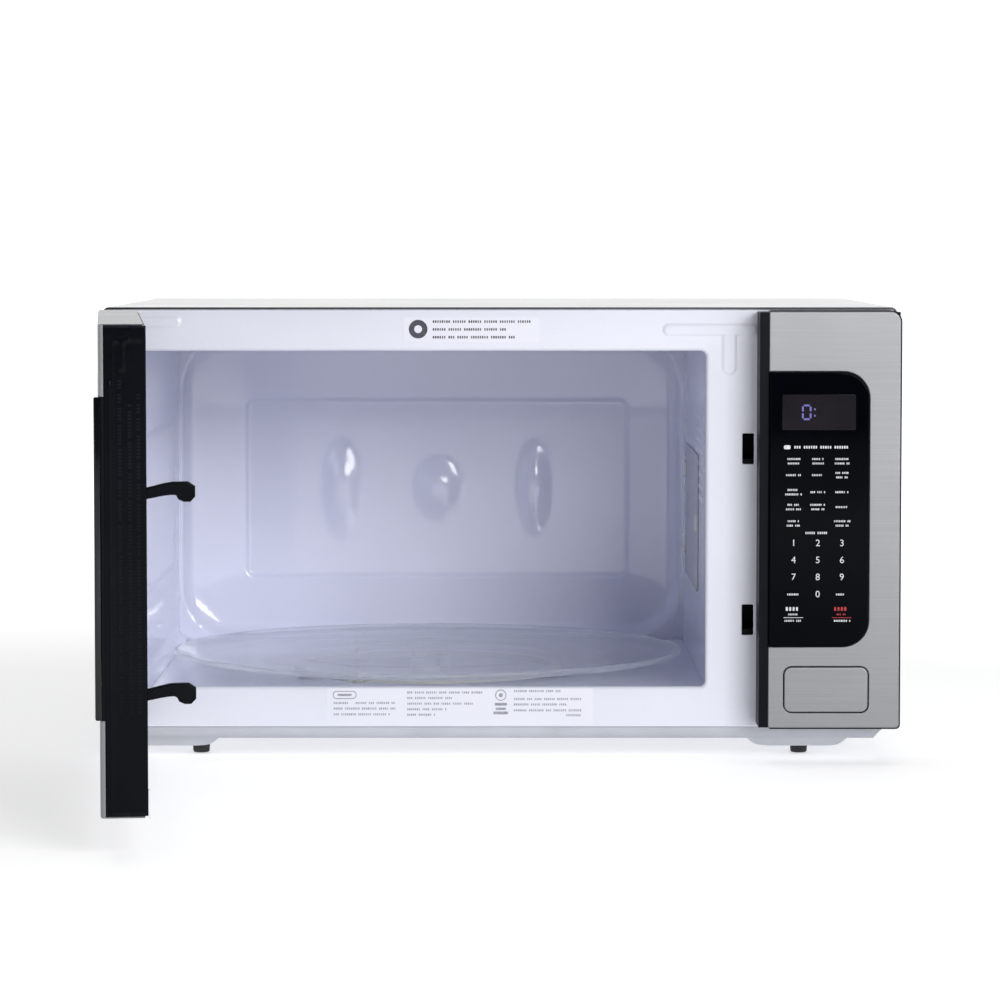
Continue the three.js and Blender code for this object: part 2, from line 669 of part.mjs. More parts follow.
part(oven, "front_frame", frontFrame(), enamel);
addCavity(oven);
addShell(oven);
addControlPanel(oven);
addButton(oven);
addLever(oven);
addInterlock(oven);
addMachinery(oven);
addFanRotor(oven);
addCoupler(oven);
addTurntable(oven);
addRoller(oven);
const topPlate = door.high - hinge.plateDepth + 1.4;
part(oven, "hinge_plate_top", hingePlate(topPlate, topPlate - 12, topPlate + 1), galvanised);
const bottomPlate = door.low + hinge.plateDepth - 2.9;
part(oven, "hinge_plate_bottom", hingePlate(bottomPlate, bottomPlate + 0.5, bottomPlate + 13.5), galvanised);

const swing = new THREE.Group();
swing.position.set(hinge.x, hinge.y, 0);
swing.rotation.z = -THREE.MathUtils.degToRad(door.openDegrees);
const closedDoor = new THREE.Group();
closedDoor.position.set(-hinge.x, -hinge.y, 0);
swing.add(closedDoor);
oven.add(swing);
addDoor(closedDoor);
addLatch(closedDoor);

export default oven;
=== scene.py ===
import json
import math
import bmesh
import bpy
import numpy as np
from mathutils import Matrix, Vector
from mathutils.geometry import tessellate_polygon


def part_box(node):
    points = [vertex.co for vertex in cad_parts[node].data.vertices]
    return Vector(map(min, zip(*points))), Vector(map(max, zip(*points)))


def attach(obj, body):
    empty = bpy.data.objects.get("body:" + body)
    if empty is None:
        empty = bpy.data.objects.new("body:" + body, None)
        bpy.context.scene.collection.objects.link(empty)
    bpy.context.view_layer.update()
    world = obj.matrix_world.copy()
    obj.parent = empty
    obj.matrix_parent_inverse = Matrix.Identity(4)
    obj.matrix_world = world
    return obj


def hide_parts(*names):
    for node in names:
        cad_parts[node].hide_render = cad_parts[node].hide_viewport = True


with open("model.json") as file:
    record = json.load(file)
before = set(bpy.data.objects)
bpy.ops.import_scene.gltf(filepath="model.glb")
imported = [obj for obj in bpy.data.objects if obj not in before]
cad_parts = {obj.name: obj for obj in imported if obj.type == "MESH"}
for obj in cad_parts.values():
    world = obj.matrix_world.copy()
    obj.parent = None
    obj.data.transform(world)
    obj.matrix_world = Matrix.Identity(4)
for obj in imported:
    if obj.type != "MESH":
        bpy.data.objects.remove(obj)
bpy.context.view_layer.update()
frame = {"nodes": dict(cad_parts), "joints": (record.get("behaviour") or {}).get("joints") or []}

# Sizes below are in millimetres: x to the right, y to the rear, z up.
millimetre = 0.001
scene = bpy.context.scene
scene.view_settings.view_transform = "Standard"
rng = np.random.default_rng(7)

# Camera and studio: places in metres, angles in degrees, powers in watts.
view = {
    "place": (0.0, -3.083, 0.405),
    "pitchDown": 3.73,
    "lens": 145.7,
}
studio = {
    "key": {"azimuth": 25, "elevation": 17, "distance": 3.2, "size": (1.7, 1.0), "power": 63},
    "fill": {"azimuth": -48, "elevation": 22, "distance": 3.0, "size": (1.6, 1.6), "power": 2},
    "top": {"height": 2.6, "size": 2.6, "power": 13},
    "frontGlow": 0.08,
    "rearGlow": 1.25,
    "ambient": 0.16,
    "throughGlass": 0.8,
    "background": 1.2,
    "floorGlow": (0.48, 1.1),
    "glowReach": (0.8, 2.4),
}


def addCamera():
    data = bpy.data.cameras.new("camera")
    data.lens = view["lens"]
    camera = bpy.data.objects.new("camera", data)
    camera.location = view["place"]
    camera.rotation_euler = (math.radians(90 - view["pitchDown"]), 0, 0)
    scene.collection.objects.link(camera)
    scene.camera = camera


def addLamp(name, place, size, power, target=(0, 0.15, 0.18)):
    data = bpy.data.lights.new(name, "AREA")
    data.shape = "RECTANGLE"
    data.size, data.size_y = size
    data.energy = power
    lamp = bpy.data.objects.new(name, data)
    lamp.location = place
    lamp.rotation_euler = (Vector(target) - Vector(place)).to_track_quat("-Z", "Y").to_euler()
    scene.collection.objects.link(lamp)


# A point on a sphere about the oven: azimuth to the right of the front, elevation above the floor.
def around(azimuth, elevation, distance):
    a, e = math.radians(azimuth), math.radians(elevation)
    return (distance * math.sin(a) * math.cos(e), -distance * math.cos(a) * math.cos(e),
            0.2 + distance * math.sin(e))


# Sets each input of a node: a socket is linked to it, anything else becomes its value.
def setInputs(tree, node, inputs):
    for key, value in inputs.items():
        if isinstance(value, bpy.types.NodeSocket):
            tree.links.new(value, node.inputs[key])
        else:
            node.inputs[key].default_value = value
    return node


def addNode(tree, kind, inputs=None, **settings):
    node = tree.nodes.new("ShaderNode" + kind)
    for key, value in settings.items():
        setattr(node, key, value)
    return setInputs(tree, node, inputs or {})


# The sky is dim straight ahead of the oven and white behind it; what the camera sees directly is white.
def addWorld():
    world = bpy.data.worlds.new("studio")
    scene.world = world
    world.use_nodes = True
    tree = world.node_tree
    tree.nodes.clear()
    split = addNode(tree, "SeparateXYZ", {0: addNode(tree, "TexCoord").outputs["Generated"]})
    strength = addNode(tree, "MapRange", {"Value": split.outputs["Y"], "From Min": -0.9, "From Max": 0.1,
                                          "To Min": studio["frontGlow"],
                                          "To Max": studio["rearGlow"]}).outputs[0]
    path = addNode(tree, "LightPath")
    for ray, level in (("Is Diffuse Ray", studio["ambient"]), ("Is Transmission Ray", studio["throughGlass"]),
                       ("Is Camera Ray", studio["background"])):
        strength = addNode(tree, "Mix", {0: path.outputs[ray], 2: strength, 3: level}).outputs[0]
    background = addNode(tree, "Background", {"Color": (1, 1, 1, 1), "Strength": strength})
    addNode(tree, "OutputWorld", {0: background.outputs[0]})


addCamera()
addWorld()
for lampName in ("key", "fill"):
    lamp = studio[lampName]
    addLamp(lampName, around(lamp["azimuth"], lamp["elevation"], lamp["distance"]), lamp["size"],
            lamp["power"])
addLamp("top", (0, 0.3, studio["top"]["height"]), (studio["top"]["size"],) * 2, studio["top"]["power"],
        (0, 0.3, 0))
print("camera and lights placed")


# Every finish reads object coordinates: grain is a fine noise stretched by its scale per metre,
# and cloud is a slow noise that varies the colour a little. One number of grain serves all three ways.
def startMaterial(name):
    material = bpy.data.materials.new(name)
    material.use_nodes = True
    tree = material.node_tree
    return material, tree, tree.nodes["Principled BSDF"], addNode(tree, "TexCoord").outputs["Object"]


def scaled(tree, vector, scale, turn=0.0):
    if turn:
        vector = addNode(tree, "Mapping", {"Rotation": (0, 0, turn), "Vector": vector}).outputs[0]
    return addNode(tree, "Mapping", {"Scale": scale, "Vector": vector}).outputs[0]


def noise(tree, vector, scale=1.0, detail=3.0):
    return addNode(tree, "TexNoise", {"Scale": scale, "Detail": detail, "Vector": vector}).outputs["Fac"]


# Carries a value's range from start and end to low and high.
def between(tree, value, low, high, start=0.3, end=0.7):
    return addNode(tree, "MapRange", {"From Min": start, "From Max": end, "To Min": low, "To Max": high,
                                      "Value": value}).outputs[0]


def mixColour(tree, factor, first, second):
    return addNode(tree, "Mix", {0: factor, 6: (*first, 1), 7: (*second, 1)}, data_type="RGBA").outputs[2]


# The colour times low where the factor is 0, and times high where it is 1.
def shades(tree, factor, colour, low, high):
    return mixColour(tree, factor, [c * low for c in colour], [min(1, c * high) for c in colour])


def bumped(tree, height, strength, distance):
    return addNode(tree, "Bump", {"Strength": strength, "Distance": distance * millimetre,
                                  "Height": height}).outputs[0]


def finish(name, colour, rough, metal=0.0, grain=600, roughSpread=0.06, colourSpread=0.05,
           cloud=25, depth=0.02, strength=0.3, turn=0.0, coat=0.0, specular=0.5):
    material, tree, shader, vector = startMaterial(name)
    fine = noise(tree, scaled(tree, vector, (grain,) * 3 if np.isscalar(grain) else grain, turn))
    slow = noise(tree, vector, cloud, 2)
    setInputs(tree, shader, {
        "Base Color": shades(tree, between(tree, slow, 0, 1), colour, 1 - colourSpread, 1 + colourSpread),
        "Roughness": between(tree, fine, rough - roughSpread, rough + roughSpread),
        "Normal": bumped(tree, fine, strength, depth),
        "Metallic": metal, "Coat Weight": coat, "Specular IOR Level": specular})
    return material


# Ink: its colour varies in small patches by the given share.
def printed(name, colour, spread):
    return finish(name, colour, 0.5, grain=900, colourSpread=spread, cloud=500, depth=0.01,
                  strength=0.1)


# Glass printed black behind: nearly even, so that its reflections stay straight.
def darkGlass(name, colour, rough, specular):
    return finish(name, colour, rough, grain=60, roughSpread=0.02, colourSpread=0.3, cloud=12,
                  depth=0.004, strength=0.05, specular=specular)


# Brushed steel: long fine lines along one direction, with a coarser set over them.
def brushed(name, colour, rough, lines, turn=0.0, metal=1.0):
    material, tree, shader, vector = startMaterial(name)
    fine = noise(tree, scaled(tree, vector, lines, turn), 1, 4)
    coarse = noise(tree, scaled(tree, vector, [v * 0.3 for v in lines], turn), 1, 2)
    slow = noise(tree, vector, 9, 2)
    both = addNode(tree, "Math", {0: fine, 1: 1.2, 2: coarse}, operation="MULTIPLY_ADD").outputs[0]
    setInputs(tree, shader, {
        "Base Color": shades(tree, between(tree, both, 0, 1, 0.8, 1.4), colour, 0.94, 1.06),
        "Roughness": between(tree, slow, rough - 0.03, rough + 0.05),
        "Normal": bumped(tree, both, 0.2, 0.012), "Metallic": metal})
    return material


# Zinc-coated sheet: crystal cells of slightly different greys.
def spangled(name, colour, rough):
    material, tree, shader, vector = startMaterial(name)
    cells = addNode(tree, "TexVoronoi", {"Scale": 160, "Vector": vector})
    grey = addNode(tree, "SeparateColor", {0: cells.outputs["Color"]})
    setInputs(tree, shader, {
        "Base Color": shades(tree, grey.outputs[0], colour, 0.86, 1.08),
        "Roughness": between(tree, grey.outputs[1], rough - 0.08, rough + 0.08, 0, 1),
        "Normal": bumped(tree, noise(tree, vector, 900, 2), 0.12, 0.02), "Metallic": 0.75})
    return material


# Clear glass: faint smears in its roughness and a slow waviness, with a cool green tint.
def clearGlass(name, tint, alpha):
    material, tree, shader, vector = startMaterial(name)
    smears = noise(tree, scaled(tree, vector, (14, 30, 14)), 1, 4)
    setInputs(tree, shader, {
        "Roughness": between(tree, smears, 0.0, 0.05),
        "Normal": bumped(tree, noise(tree, vector, 40, 1), 0.02, 0.1),
        "Base Color": (*tint, 1), "Transmission Weight": 0.86, "Alpha": alpha, "IOR": 1.38})
    return material


# Laminations or windings: repeated bands along one direction.
def banded(name, first, second, rough, metal, perMetre, direction):
    material, tree, shader, vector = startMaterial(name)
    wave = addNode(tree, "TexWave", {"Scale": perMetre, "Distortion": 0.6, "Vector": vector},
                   bands_direction=direction).outputs["Fac"]
    setInputs(tree, shader, {
        "Base Color": mixColour(tree, wave, first, second),
        "Roughness": between(tree, wave, rough - 0.1, rough + 0.1, 0, 1),
        "Normal": bumped(tree, wave, 0.6, 0.2), "Metallic": metal})
    return material


# A glowing segment: a pale colour with its own light, a little uneven along its length.
def glowing(name, colour, power):
    material, tree, shader, vector = startMaterial(name)
    patch = between(tree, noise(tree, vector, 300, 1), 0, 1)
    setInputs(tree, shader, {"Emission Color": shades(tree, patch, colour, 0.8, 1),
                             "Emission Strength": power,
                             "Base Color": (*[c * 0.2 for c in colour], 1)})
    return material


doorJoint = next(joint for joint in frame["joints"] if joint["name"] == "door_hinge")
doorPin = np.array(doorJoint["pos_m"]) / millimetre
doorOpen = math.radians(doorJoint["range_deg"][1])

finishes = {
    "enamel": finish("white_enamel", (0.72, 0.735, 0.825), 0.3, grain=1500, roughSpread=0.04,
                     colourSpread=0.012, cloud=14, depth=0.008, strength=0.12, coat=0.25),
    # The cavity's enamel is the flange's white enamel made paler and bluer: painted light standing in for the
    # light bounced about inside the cavity.
    "cavityEnamel": finish("cavity_enamel_painted_light", (0.825, 0.84, 0.99), 0.16, grain=1100,
                           roughSpread=0.04, colourSpread=0.015, cloud=9, depth=0.012, strength=0.18,
                           coat=0.4),
    "steel": brushed("brushed_steel", (0.27, 0.272, 0.284), 0.46, (14, 2600, 2600)),
    "doorSteel": brushed("brushed_door_steel", (0.27, 0.272, 0.284), 0.42, (14, 2600, 2600), doorOpen),
    "coverSteel": brushed("cover_steel", (0.5, 0.503, 0.515), 0.3, (2400, 14, 2400), 0.0, 0.7),
    # This dark steel paints the shade line along the cover's front edge; the louvres are made of it too.
    "shadeBandAndLouvreSteel": brushed("shade_band_and_louvre_steel", (0.07, 0.071, 0.08), 0.4, (14, 2600, 2600)),
    "zinc": spangled("zinc_sheet", (0.4, 0.42, 0.45), 0.42),
    "paintedPan": finish("pan_paint", (0.47, 0.488, 0.535), 0.5, grain=900, colourSpread=0.05,
                         cloud=35, depth=0.03, strength=0.25),
    "plastic": finish("black_moulding", (0.004, 0.005, 0.008), 0.38, grain=2200,
                      colourSpread=0.2, depth=0.02, strength=0.3, specular=0.07),
    "glossPlastic": finish("black_gloss_moulding", (0.0025, 0.003, 0.005), 0.2, grain=700,
                           colourSpread=0.2, depth=0.02, strength=0.15, specular=0.06),
    "blackGlass": darkGlass("black_glass", (0.001, 0.0014, 0.0026), 0.05, 0.03),
    "doorGlass": darkGlass("black_door_glass", (0.0015, 0.0018, 0.003), 0.06, 0.3),
    "smokedGlass": finish("display_window", (0.013, 0.0115, 0.015), 0.09, grain=300,
                          roughSpread=0.03, colourSpread=0.2, depth=0.004, strength=0.05, specular=0.1),
    "glass": clearGlass("clear_glass", (0.95, 0.99, 0.985), 0.6),
    "rubber": finish("rubber", (0.02, 0.02, 0.022), 0.75, grain=1200, colourSpread=0.2,
                     depth=0.05, strength=0.4),
    "whitePlastic": finish("white_moulding", (0.78, 0.78, 0.75), 0.42, grain=1400,
                           colourSpread=0.03, depth=0.02, strength=0.25),
    "copper": banded("copper_windings", (0.35, 0.13, 0.05), (0.75, 0.36, 0.2), 0.38, 0.9, 260, "Z"),
    "core": banded("core_laminations", (0.1, 0.105, 0.11), (0.28, 0.29, 0.31), 0.55, 0.7, 380, "Y"),
    "mica": finish("pressed_mica", (0.6, 0.6, 0.67), 0.55, grain=(220, 90, 90), roughSpread=0.12,
                   colourSpread=0.07, cloud=120, depth=0.08, strength=0.4),
    "board": banded("circuit_board", (0.03, 0.13, 0.06), (0.06, 0.24, 0.11), 0.45, 0.0, 90, "DIAGONAL"),
    "label": finish("label_film", (0.75, 0.76, 0.84), 0.42, grain=1800, colourSpread=0.01,
                    depth=0.006, strength=0.1),
    "ink": printed("dark_ink", (0.05, 0.052, 0.07), 0.25),
    "paleInk": printed("grey_ink", (0.3, 0.31, 0.36), 0.25),
    "whiteInk": printed("white_ink", (0.62, 0.63, 0.66), 0.15),
    "redInk": printed("red_ink", (0.36, 0.012, 0.02), 0.2),
    "glow": glowing("violet_glow", (0.3, 0.27, 0.95), 0.3),
}
cadFinishes = {
    "white_enamel": "enamel", "mica": "mica", "stainless": "steel", "galvanised_steel": "zinc",
    "black_plastic": "plastic", "rubber": "rubber", "black_glass": "blackGlass", "circuit_board": "board",
    "cast_core": "core", "copper_wire": "copper", "white_plastic": "whitePlastic", "clear_glass": "glass",
}
for node in frame["nodes"].values():
    for materialSlot in node.material_slots:
        slotName = materialSlot.material.name.split(".")[0]
        materialSlot.material = finishes[cadFinishes[slotName]]
print("finishes made and put on the frame's own parts")


# Quads between the points of a grid, row by row; a wrapped direction joins its last line to its first.
def gridFaces(rows, columns, start=0, wrapRows=False, wrapColumns=False):
    i, j = np.meshgrid(np.arange(rows - (not wrapRows)), np.arange(columns - (not wrapColumns)),
                       indexing="ij")
    nextRow, nextColumn = (i + 1) % rows, (j + 1) % columns
    corners = [i * columns + j, nextRow * columns + j, nextRow * columns + nextColumn,
               i * columns + nextColumn]
    return start + np.stack(corners, -1).reshape(-1, 4)


# Two grids of the same size, front and back, closed all round by a rim.
def gridSolid(front, back):
    rows, columns = front.shape[:2]
    count = rows * columns
    rim = np.concatenate([
        np.arange(columns), np.arange(1, rows) * columns + columns - 1,
        (rows - 1) * columns + np.arange(columns - 2, -1, -1), np.arange(rows - 2, 0, -1) * columns])
    following = np.roll(rim, -1)
    side = np.stack([rim, following, following + count, rim + count], -1)
    faces = gridFaces(rows, columns)
    points = np.concatenate([front.reshape(-1, 3), back.reshape(-1, 3)])
    return points, [faces, faces[:, ::-1] + count, side]


# A closed profile carried along a path: sections[i] is the profile at the path's i-th place.
def sweptSolid(sections, loop=False):
    rows, columns = sections.shape[:2]
    faces = [gridFaces(rows, columns, 0, loop, True)]
    if not loop:
        faces += [np.arange(columns)[None], (rows - 1) * columns + np.arange(columns)[None]]
    return sections.reshape(-1, 3), faces


# A closed profile of (radius, height) turned about an axis through centre.
def turnedSolid(profile, centre, steps=48, axis="z"):
    angle = np.linspace(0, 2 * np.pi, steps, endpoint=False)[:, None]
    radius, height = np.array(profile, float).T
    across, up = radius * np.cos(angle), radius * np.sin(angle)
    along = np.broadcast_to(height, across.shape)
    order = {"z": (across, up, along), "y": (across, along, up), "x": (along, across, up)}[axis]
    return sweptSolid(np.stack(order, -1) + np.array(centre, float), loop=True)


# A rectangle whose corners are arcs, anticlockwise from the lower left; one radius, or one per corner.
def roundedLoop(u0, u1, v0, v1, radii, steps=8):
    radii = [radii] * 4 if np.isscalar(radii) else radii
    corners = [(u0, v0, 1, 1, 180), (u1, v0, -1, 1, 270), (u1, v1, -1, -1, 0), (u0, v1, 1, -1, 90)]
    arcs = []
    for (u, v, towardU, towardV, start), r in zip(corners, radii):
        angle = np.radians(np.linspace(start, start + 90, steps if r else 1))
        arcs.append(np.stack([u + towardU * r + r * np.cos(angle), v + towardV * r + r * np.sin(angle)], -1)
                    if r else np.array([[u, v]], float))
    return np.concatenate(arcs)


# The rounded outline of a box seen from the front, grown by a margin all round.
def faceLoop(low, high, radii, steps=8, grow=0.0):
    return roundedLoop(low[0] - grow, high[0] + grow, low[2] - grow, high[2] + grow, radii, steps)


def circleLoop(u, v, radius, steps=16):
    angle = np.linspace(0, 2 * np.pi, steps, endpoint=False)
    return np.stack([u + radius * np.cos(angle), v + radius * np.sin(angle)], -1)


# At each point of an anticlockwise loop, the outward direction that keeps both sides' distance.
# Points may be doubled where an edge profile jumps; both then share one direction.
def cornerNormals(points):
    fresh = np.linalg.norm(points - np.roll(points, 1, 0), axis=1) > 1e-6
    loop = points[fresh]
    before = loop - np.roll(loop, 1, 0)
    after = np.roll(loop, -1, 0) - loop
    first = np.stack([before[:, 1], -before[:, 0]], -1) / np.linalg.norm(before, axis=1)[:, None]
    second = np.stack([after[:, 1], -after[:, 0]], -1) / np.linalg.norm(after, axis=1)[:, None]
    return ((first + second) / (1 + np.sum(first * second, 1))[:, None])[np.cumsum(fresh) - 1]


# Edge of a slab: (offset, depth) from the front face round to the back, with a quarter round at each.
# A narrow flat margin inside each round keeps the flat faces' shading flat.
def slabEdge(front, back, radius, backRadius=None, steps=4):
    backRadius = radius if backRadius is None else backRadius
    margin = 0.25
    angle = np.linspace(0, np.pi / 2, steps)
    offset = np.concatenate([[-radius - margin], radius * (np.sin(angle) - 1),
                             backRadius * (np.cos(angle) - 1),
                             [-backRadius - margin]])
    depth = np.concatenate([[front], front + radius * (1 - np.cos(angle)),
                            back - backRadius * (1 - np.sin(angle)),
                            [back]])
    return np.stack([offset, depth], -1)[:, None, :]


# Edge of a folded sheet: the face bends back with the given radius and runs to reach, one reach per point.
def foldedEdge(front, sheet, radius, reach, steps=5):
    angle = np.linspace(0, np.pi / 2, steps)
    inner = max(radius - sheet, 0)
    reach = np.atleast_1d(np.asarray(reach, float))
    ones = np.ones_like(reach)
    rows = [(-ones * (radius + 0.25), ones * front)]
    rows += [(ones * radius * (math.sin(a) - 1), ones * (front + radius * (1 - math.cos(a)))) for a in angle]
    rows += [(0 * ones, reach), (-sheet * ones, reach)]
    rows += [(ones * (inner * (math.sin(a) - 1) - sheet), ones * (front + sheet + inner * (1 - math.cos(a))))
             for a in angle[::-1]]
    rows.append((-ones * (inner + sheet + 0.25), ones * (front + sheet)))
    return np.array([np.stack(row, -1) for row in rows])


def upright(points):
    return points[..., [0, 2, 1]]


# A plate with holes: each edge profile is carried along its loop, and flat faces close front and back.
def edgedPlate(loops, edges, place=upright):
    points, faces, fronts, backs, start = [], [], [], [], 0
    for index, (loop, edge) in enumerate(zip(loops, edges)):
        outward = cornerNormals(loop) * (1 if index == 0 else -1)
        flat = loop[None] + outward[None] * edge[..., :1]
        depth = np.broadcast_to(edge[..., 1:], (*flat.shape[:2], 1))
        rings = np.concatenate([flat, depth], -1)
        rows, columns = rings.shape[:2]
        faces.append(gridFaces(rows, columns, start, wrapColumns=True))
        fronts.append((rings[0], start))
        backs.append((rings[-1], start + (rows - 1) * columns))
        points.append(rings.reshape(-1, 3))
        start += rows * columns
    for rings in (fronts, backs):
        numbers = np.concatenate([first + np.arange(len(ring)) for ring, first in rings])
        lines = [[Vector((u, v, 0)) for u, v in ring[:, :2].tolist()] for ring, _ in rings]
        faces.append(numbers[np.array(tessellate_polygon(lines))])
    return place(np.concatenate(points)), faces


# A plate whose outline and holes share one slab edge.
def slabPlate(loops, *edge, place=upright):
    return edgedPlate(loops, [slabEdge(*edge)] * len(loops), place)


# Small raised bars with clipped corners, one per row of (u, v, width, height): u and v are their middles.
def barSolids(rows, front, thickness, place=upright):
    rows = np.asarray(rows, float)
    clip = np.minimum(rows[:, 2], rows[:, 3])[:, None] * 0.22
    half = rows[:, 2:] / 2
    w, h = half[:, :1], half[:, 1:]
    u = np.concatenate([w - clip, w, w, w - clip, clip - w, -w, -w, clip - w], 1) + rows[:, :1]
    v = np.concatenate([-h, clip - h, h - clip, h, h, h - clip, clip - h, -h], 1) + rows[:, 1:2]
    ring = np.stack([u, v], -1)
    solid = np.concatenate([
        np.concatenate([ring, np.full((*u.shape, 1), front - thickness)], -1),
        np.concatenate([ring, np.full((*u.shape, 1), front)], -1)], 1)
    base = np.arange(len(rows))[:, None] * 16
    caps = [base + np.arange(8)[None], base + 8 + np.arange(8)[::-1][None]]
    i = np.arange(8)
    side = np.stack([i, (i + 1) % 8, (i + 1) % 8 + 8, i + 8], -1)
    return place(solid.reshape(-1, 3)), [*caps, (base[:, :, None] + side[None]).reshape(-1, 4)]


def nodeBox(name):
    low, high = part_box(name)
    return np.array(low) / millimetre, np.array(high) / millimetre


def turnAbout(points, angle, pin):
    c, s = math.cos(angle), math.sin(angle)
    x, y = points[..., 0] - pin[0], points[..., 1] - pin[1]
    return np.stack([pin[0] + c * x - s * y, pin[1] + s * x + c * y, points[..., 2]], -1)


# Door pieces are worked out shut and then swung to where the door stands.
def swung(points):
    return turnAbout(points, -doorOpen, doorPin)


def shutBox(name):
    mesh = frame["nodes"][name].data
    points = np.zeros(len(mesh.vertices) * 3, np.float32)
    mesh.vertices.foreach_get("co", points)
    points = turnAbout(points.reshape(-1, 3) / millimetre, doorOpen, doorPin)
    return points.min(0), points.max(0)


# Makes one piece from one or more closed shapes, faces outward, smooth except at sharp edges.
def makePiece(name, shapes, material, replaces=(), body="cabinet", move=None, sharp=32):
    points, faces, start = [], [], 0
    for shapePoints, shapeFaces in shapes:
        shapePoints = shapePoints.reshape(-1, 3)
        points.append(shapePoints)
        for group in shapeFaces:
            faces += (np.asarray(group) + start).tolist()
        start += len(shapePoints)
    points = np.concatenate(points)
    if move:
        points = move(points)
    mesh = bpy.data.meshes.new(name)
    mesh.from_pydata((points * millimetre).tolist(), [], faces)
    clean = bmesh.new()
    clean.from_mesh(mesh)
    bmesh.ops.remove_doubles(clean, verts=clean.verts, dist=2e-6)
    bmesh.ops.recalc_face_normals(clean, faces=clean.faces)
    clean.to_mesh(mesh)
    clean.free()
    mesh.shade_smooth()
    mesh.set_sharp_from_angle(angle=math.radians(sharp))
    mesh.materials.append(finishes[material])
    piece = bpy.data.objects.new(name, mesh)
    scene.collection.objects.link(piece)
    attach(piece, body)
    if replaces:
        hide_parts(*replaces)


def smoothStep(t):
    t = np.clip(t, 0, 1)
    return t * t * (3 - 2 * t)


# Signed distance to a rounded rectangle, negative inside.
def roundedDistance(u, v, middle, half, radius):
    du = np.abs(u - middle[0]) - half[0] + radius
    dv = np.abs(v - middle[1]) - half[1] + radius
    outside = np.hypot(np.maximum(du, 0), np.maximum(dv, 0))
    return outside + np.minimum(np.maximum(du, dv), 0) - radius


def gridOf(us, vs):
    return np.meshgrid(np.asarray(us, float), np.asarray(vs, float), indexing="ij")


# Grid lines at an even step, with closer ones around the given places, and any given spans of lines.
def linesWith(start, end, step, places=(), reach=8, fine=1.0, spans=()):
    lines = [np.linspace(start, end, int((end - start) / step) + 1), *spans]
    lines += [np.arange(place - reach, place + reach + fine / 2, fine) for place in places]
    merged = np.unique(np.clip(np.round(np.concatenate(lines), 3), start, end))
    keep = np.concatenate([[True], np.diff(merged) > fine * 0.4])
    keep[-1] = True
    return merged[keep]


# A plain floor of matt paper.
def addFloor():
    size = {"x": 5.0, "front": -5.0, "rear": 6.0, "step": 24}
    xs, ys = gridOf(np.linspace(-size["x"], size["x"], size["step"]),
                    np.linspace(size["front"], size["rear"], size["step"]))
    mesh = bpy.data.meshes.new("floor")
    points = np.stack([xs, ys, np.full_like(xs, -0.0005)], -1).reshape(-1, 3)
    mesh.from_pydata(points.tolist(), [], gridFaces(*xs.shape).tolist())
    floorFinish = finish("floor_paper", (0.9, 0.9, 0.91), 0.8, grain=300, roughSpread=0.05,
                         colourSpread=0.005, cloud=2, depth=0.05, strength=0.1)
    # The paper glows a little more with distance from the oven, so that no horizon shows.
    tree = floorFinish.node_tree
    place = addNode(tree, "TexCoord").outputs["Object"]
    distance = addNode(tree, "VectorMath", {0: place}, operation="LENGTH").outputs["Value"]
    glow = between(tree, distance, *studio["floorGlow"], *studio["glowReach"])
    setInputs(tree, tree.nodes["Principled BSDF"],
              {"Emission Color": (1, 1, 1, 1), "Emission Strength": glow})
    mesh.materials.append(floorFinish)
    floor = bpy.data.objects.new("floor", mesh)
    scene.collection.objects.link(floor)


addFloor()

# The front flange: its rounds, its rolled mouth and the lever's opening as x and z limits.
# Beads are x limits, z limits and height.
flange = {"edgeRound": 1.2, "mouthRoll": 3.0, "mouthReturn": 5.0, "wall": 0.7, "slotRound": 0.5,
          "mouthCorner": 4.5, "leverOpening": (228, 268, 38, 96)}
beads = [(125, 199, 328, 338, 1.3), (170.5, 182.5, 298, 334, 1.2), (-301, -245, 334.5, 343.5, 1.1)]
frameLow, frameHigh = nodeBox("front_frame")
faceY = frameLow[1]
innerLeft, innerRight = nodeBox("cavity_left_wall")[1][0], nodeBox("cavity_right_wall")[0][0]
floorTop = nodeBox("cavity_floor")[1][2]
roofUnder = nodeBox("cavity_roof")[0][2]
mouth = {"left": innerLeft + 1, "right": innerRight - 1.2, "low": floorTop + 5.1, "high": roofUnder - 1}
catch = {"left": 186.9, "right": 195.8, "height": 23.7, "lows": (97.3, 229.6)}


def addFlange():
    roll = flange["mouthRoll"]
    outer = faceLoop(frameLow, frameHigh, 3)
    hole = roundedLoop(mouth["left"], mouth["right"], mouth["low"], mouth["high"], flange["mouthCorner"])
    angle = np.linspace(0, np.pi / 2, 7)
    front = np.stack([roll * (np.sin(angle) - 1), faceY + roll * (1 - np.cos(angle))], -1)
    reach = faceY + flange["mouthReturn"]
    wall = flange["wall"]
    back = np.array([[0, reach], [-wall, reach], [-wall, faceY + roll], [-1.6, faceY + 1.6],
                     [-roll, faceY + 1]])
    mouthEdge = np.concatenate([front, back])[:, None, :]
    slots = [roundedLoop(catch["left"], catch["right"], low, low + catch["height"], 0.9, 4)
             for low in catch["lows"]]
    edge = slabEdge(faceY, frameHigh[1], flange["edgeRound"], 0.1)
    # The release lever's opening, behind the control panel.
    slots.append(roundedLoop(*flange["leverOpening"], 1.5, 4))
    slotEdge = slabEdge(faceY, frameHigh[1], flange["slotRound"], 0.1)
    plate = edgedPlate([outer, hole, *slots], [edge, mouthEdge] + [slotEdge] * len(slots))
    makePiece("front_flange", [plate], "enamel", ["front_frame"])


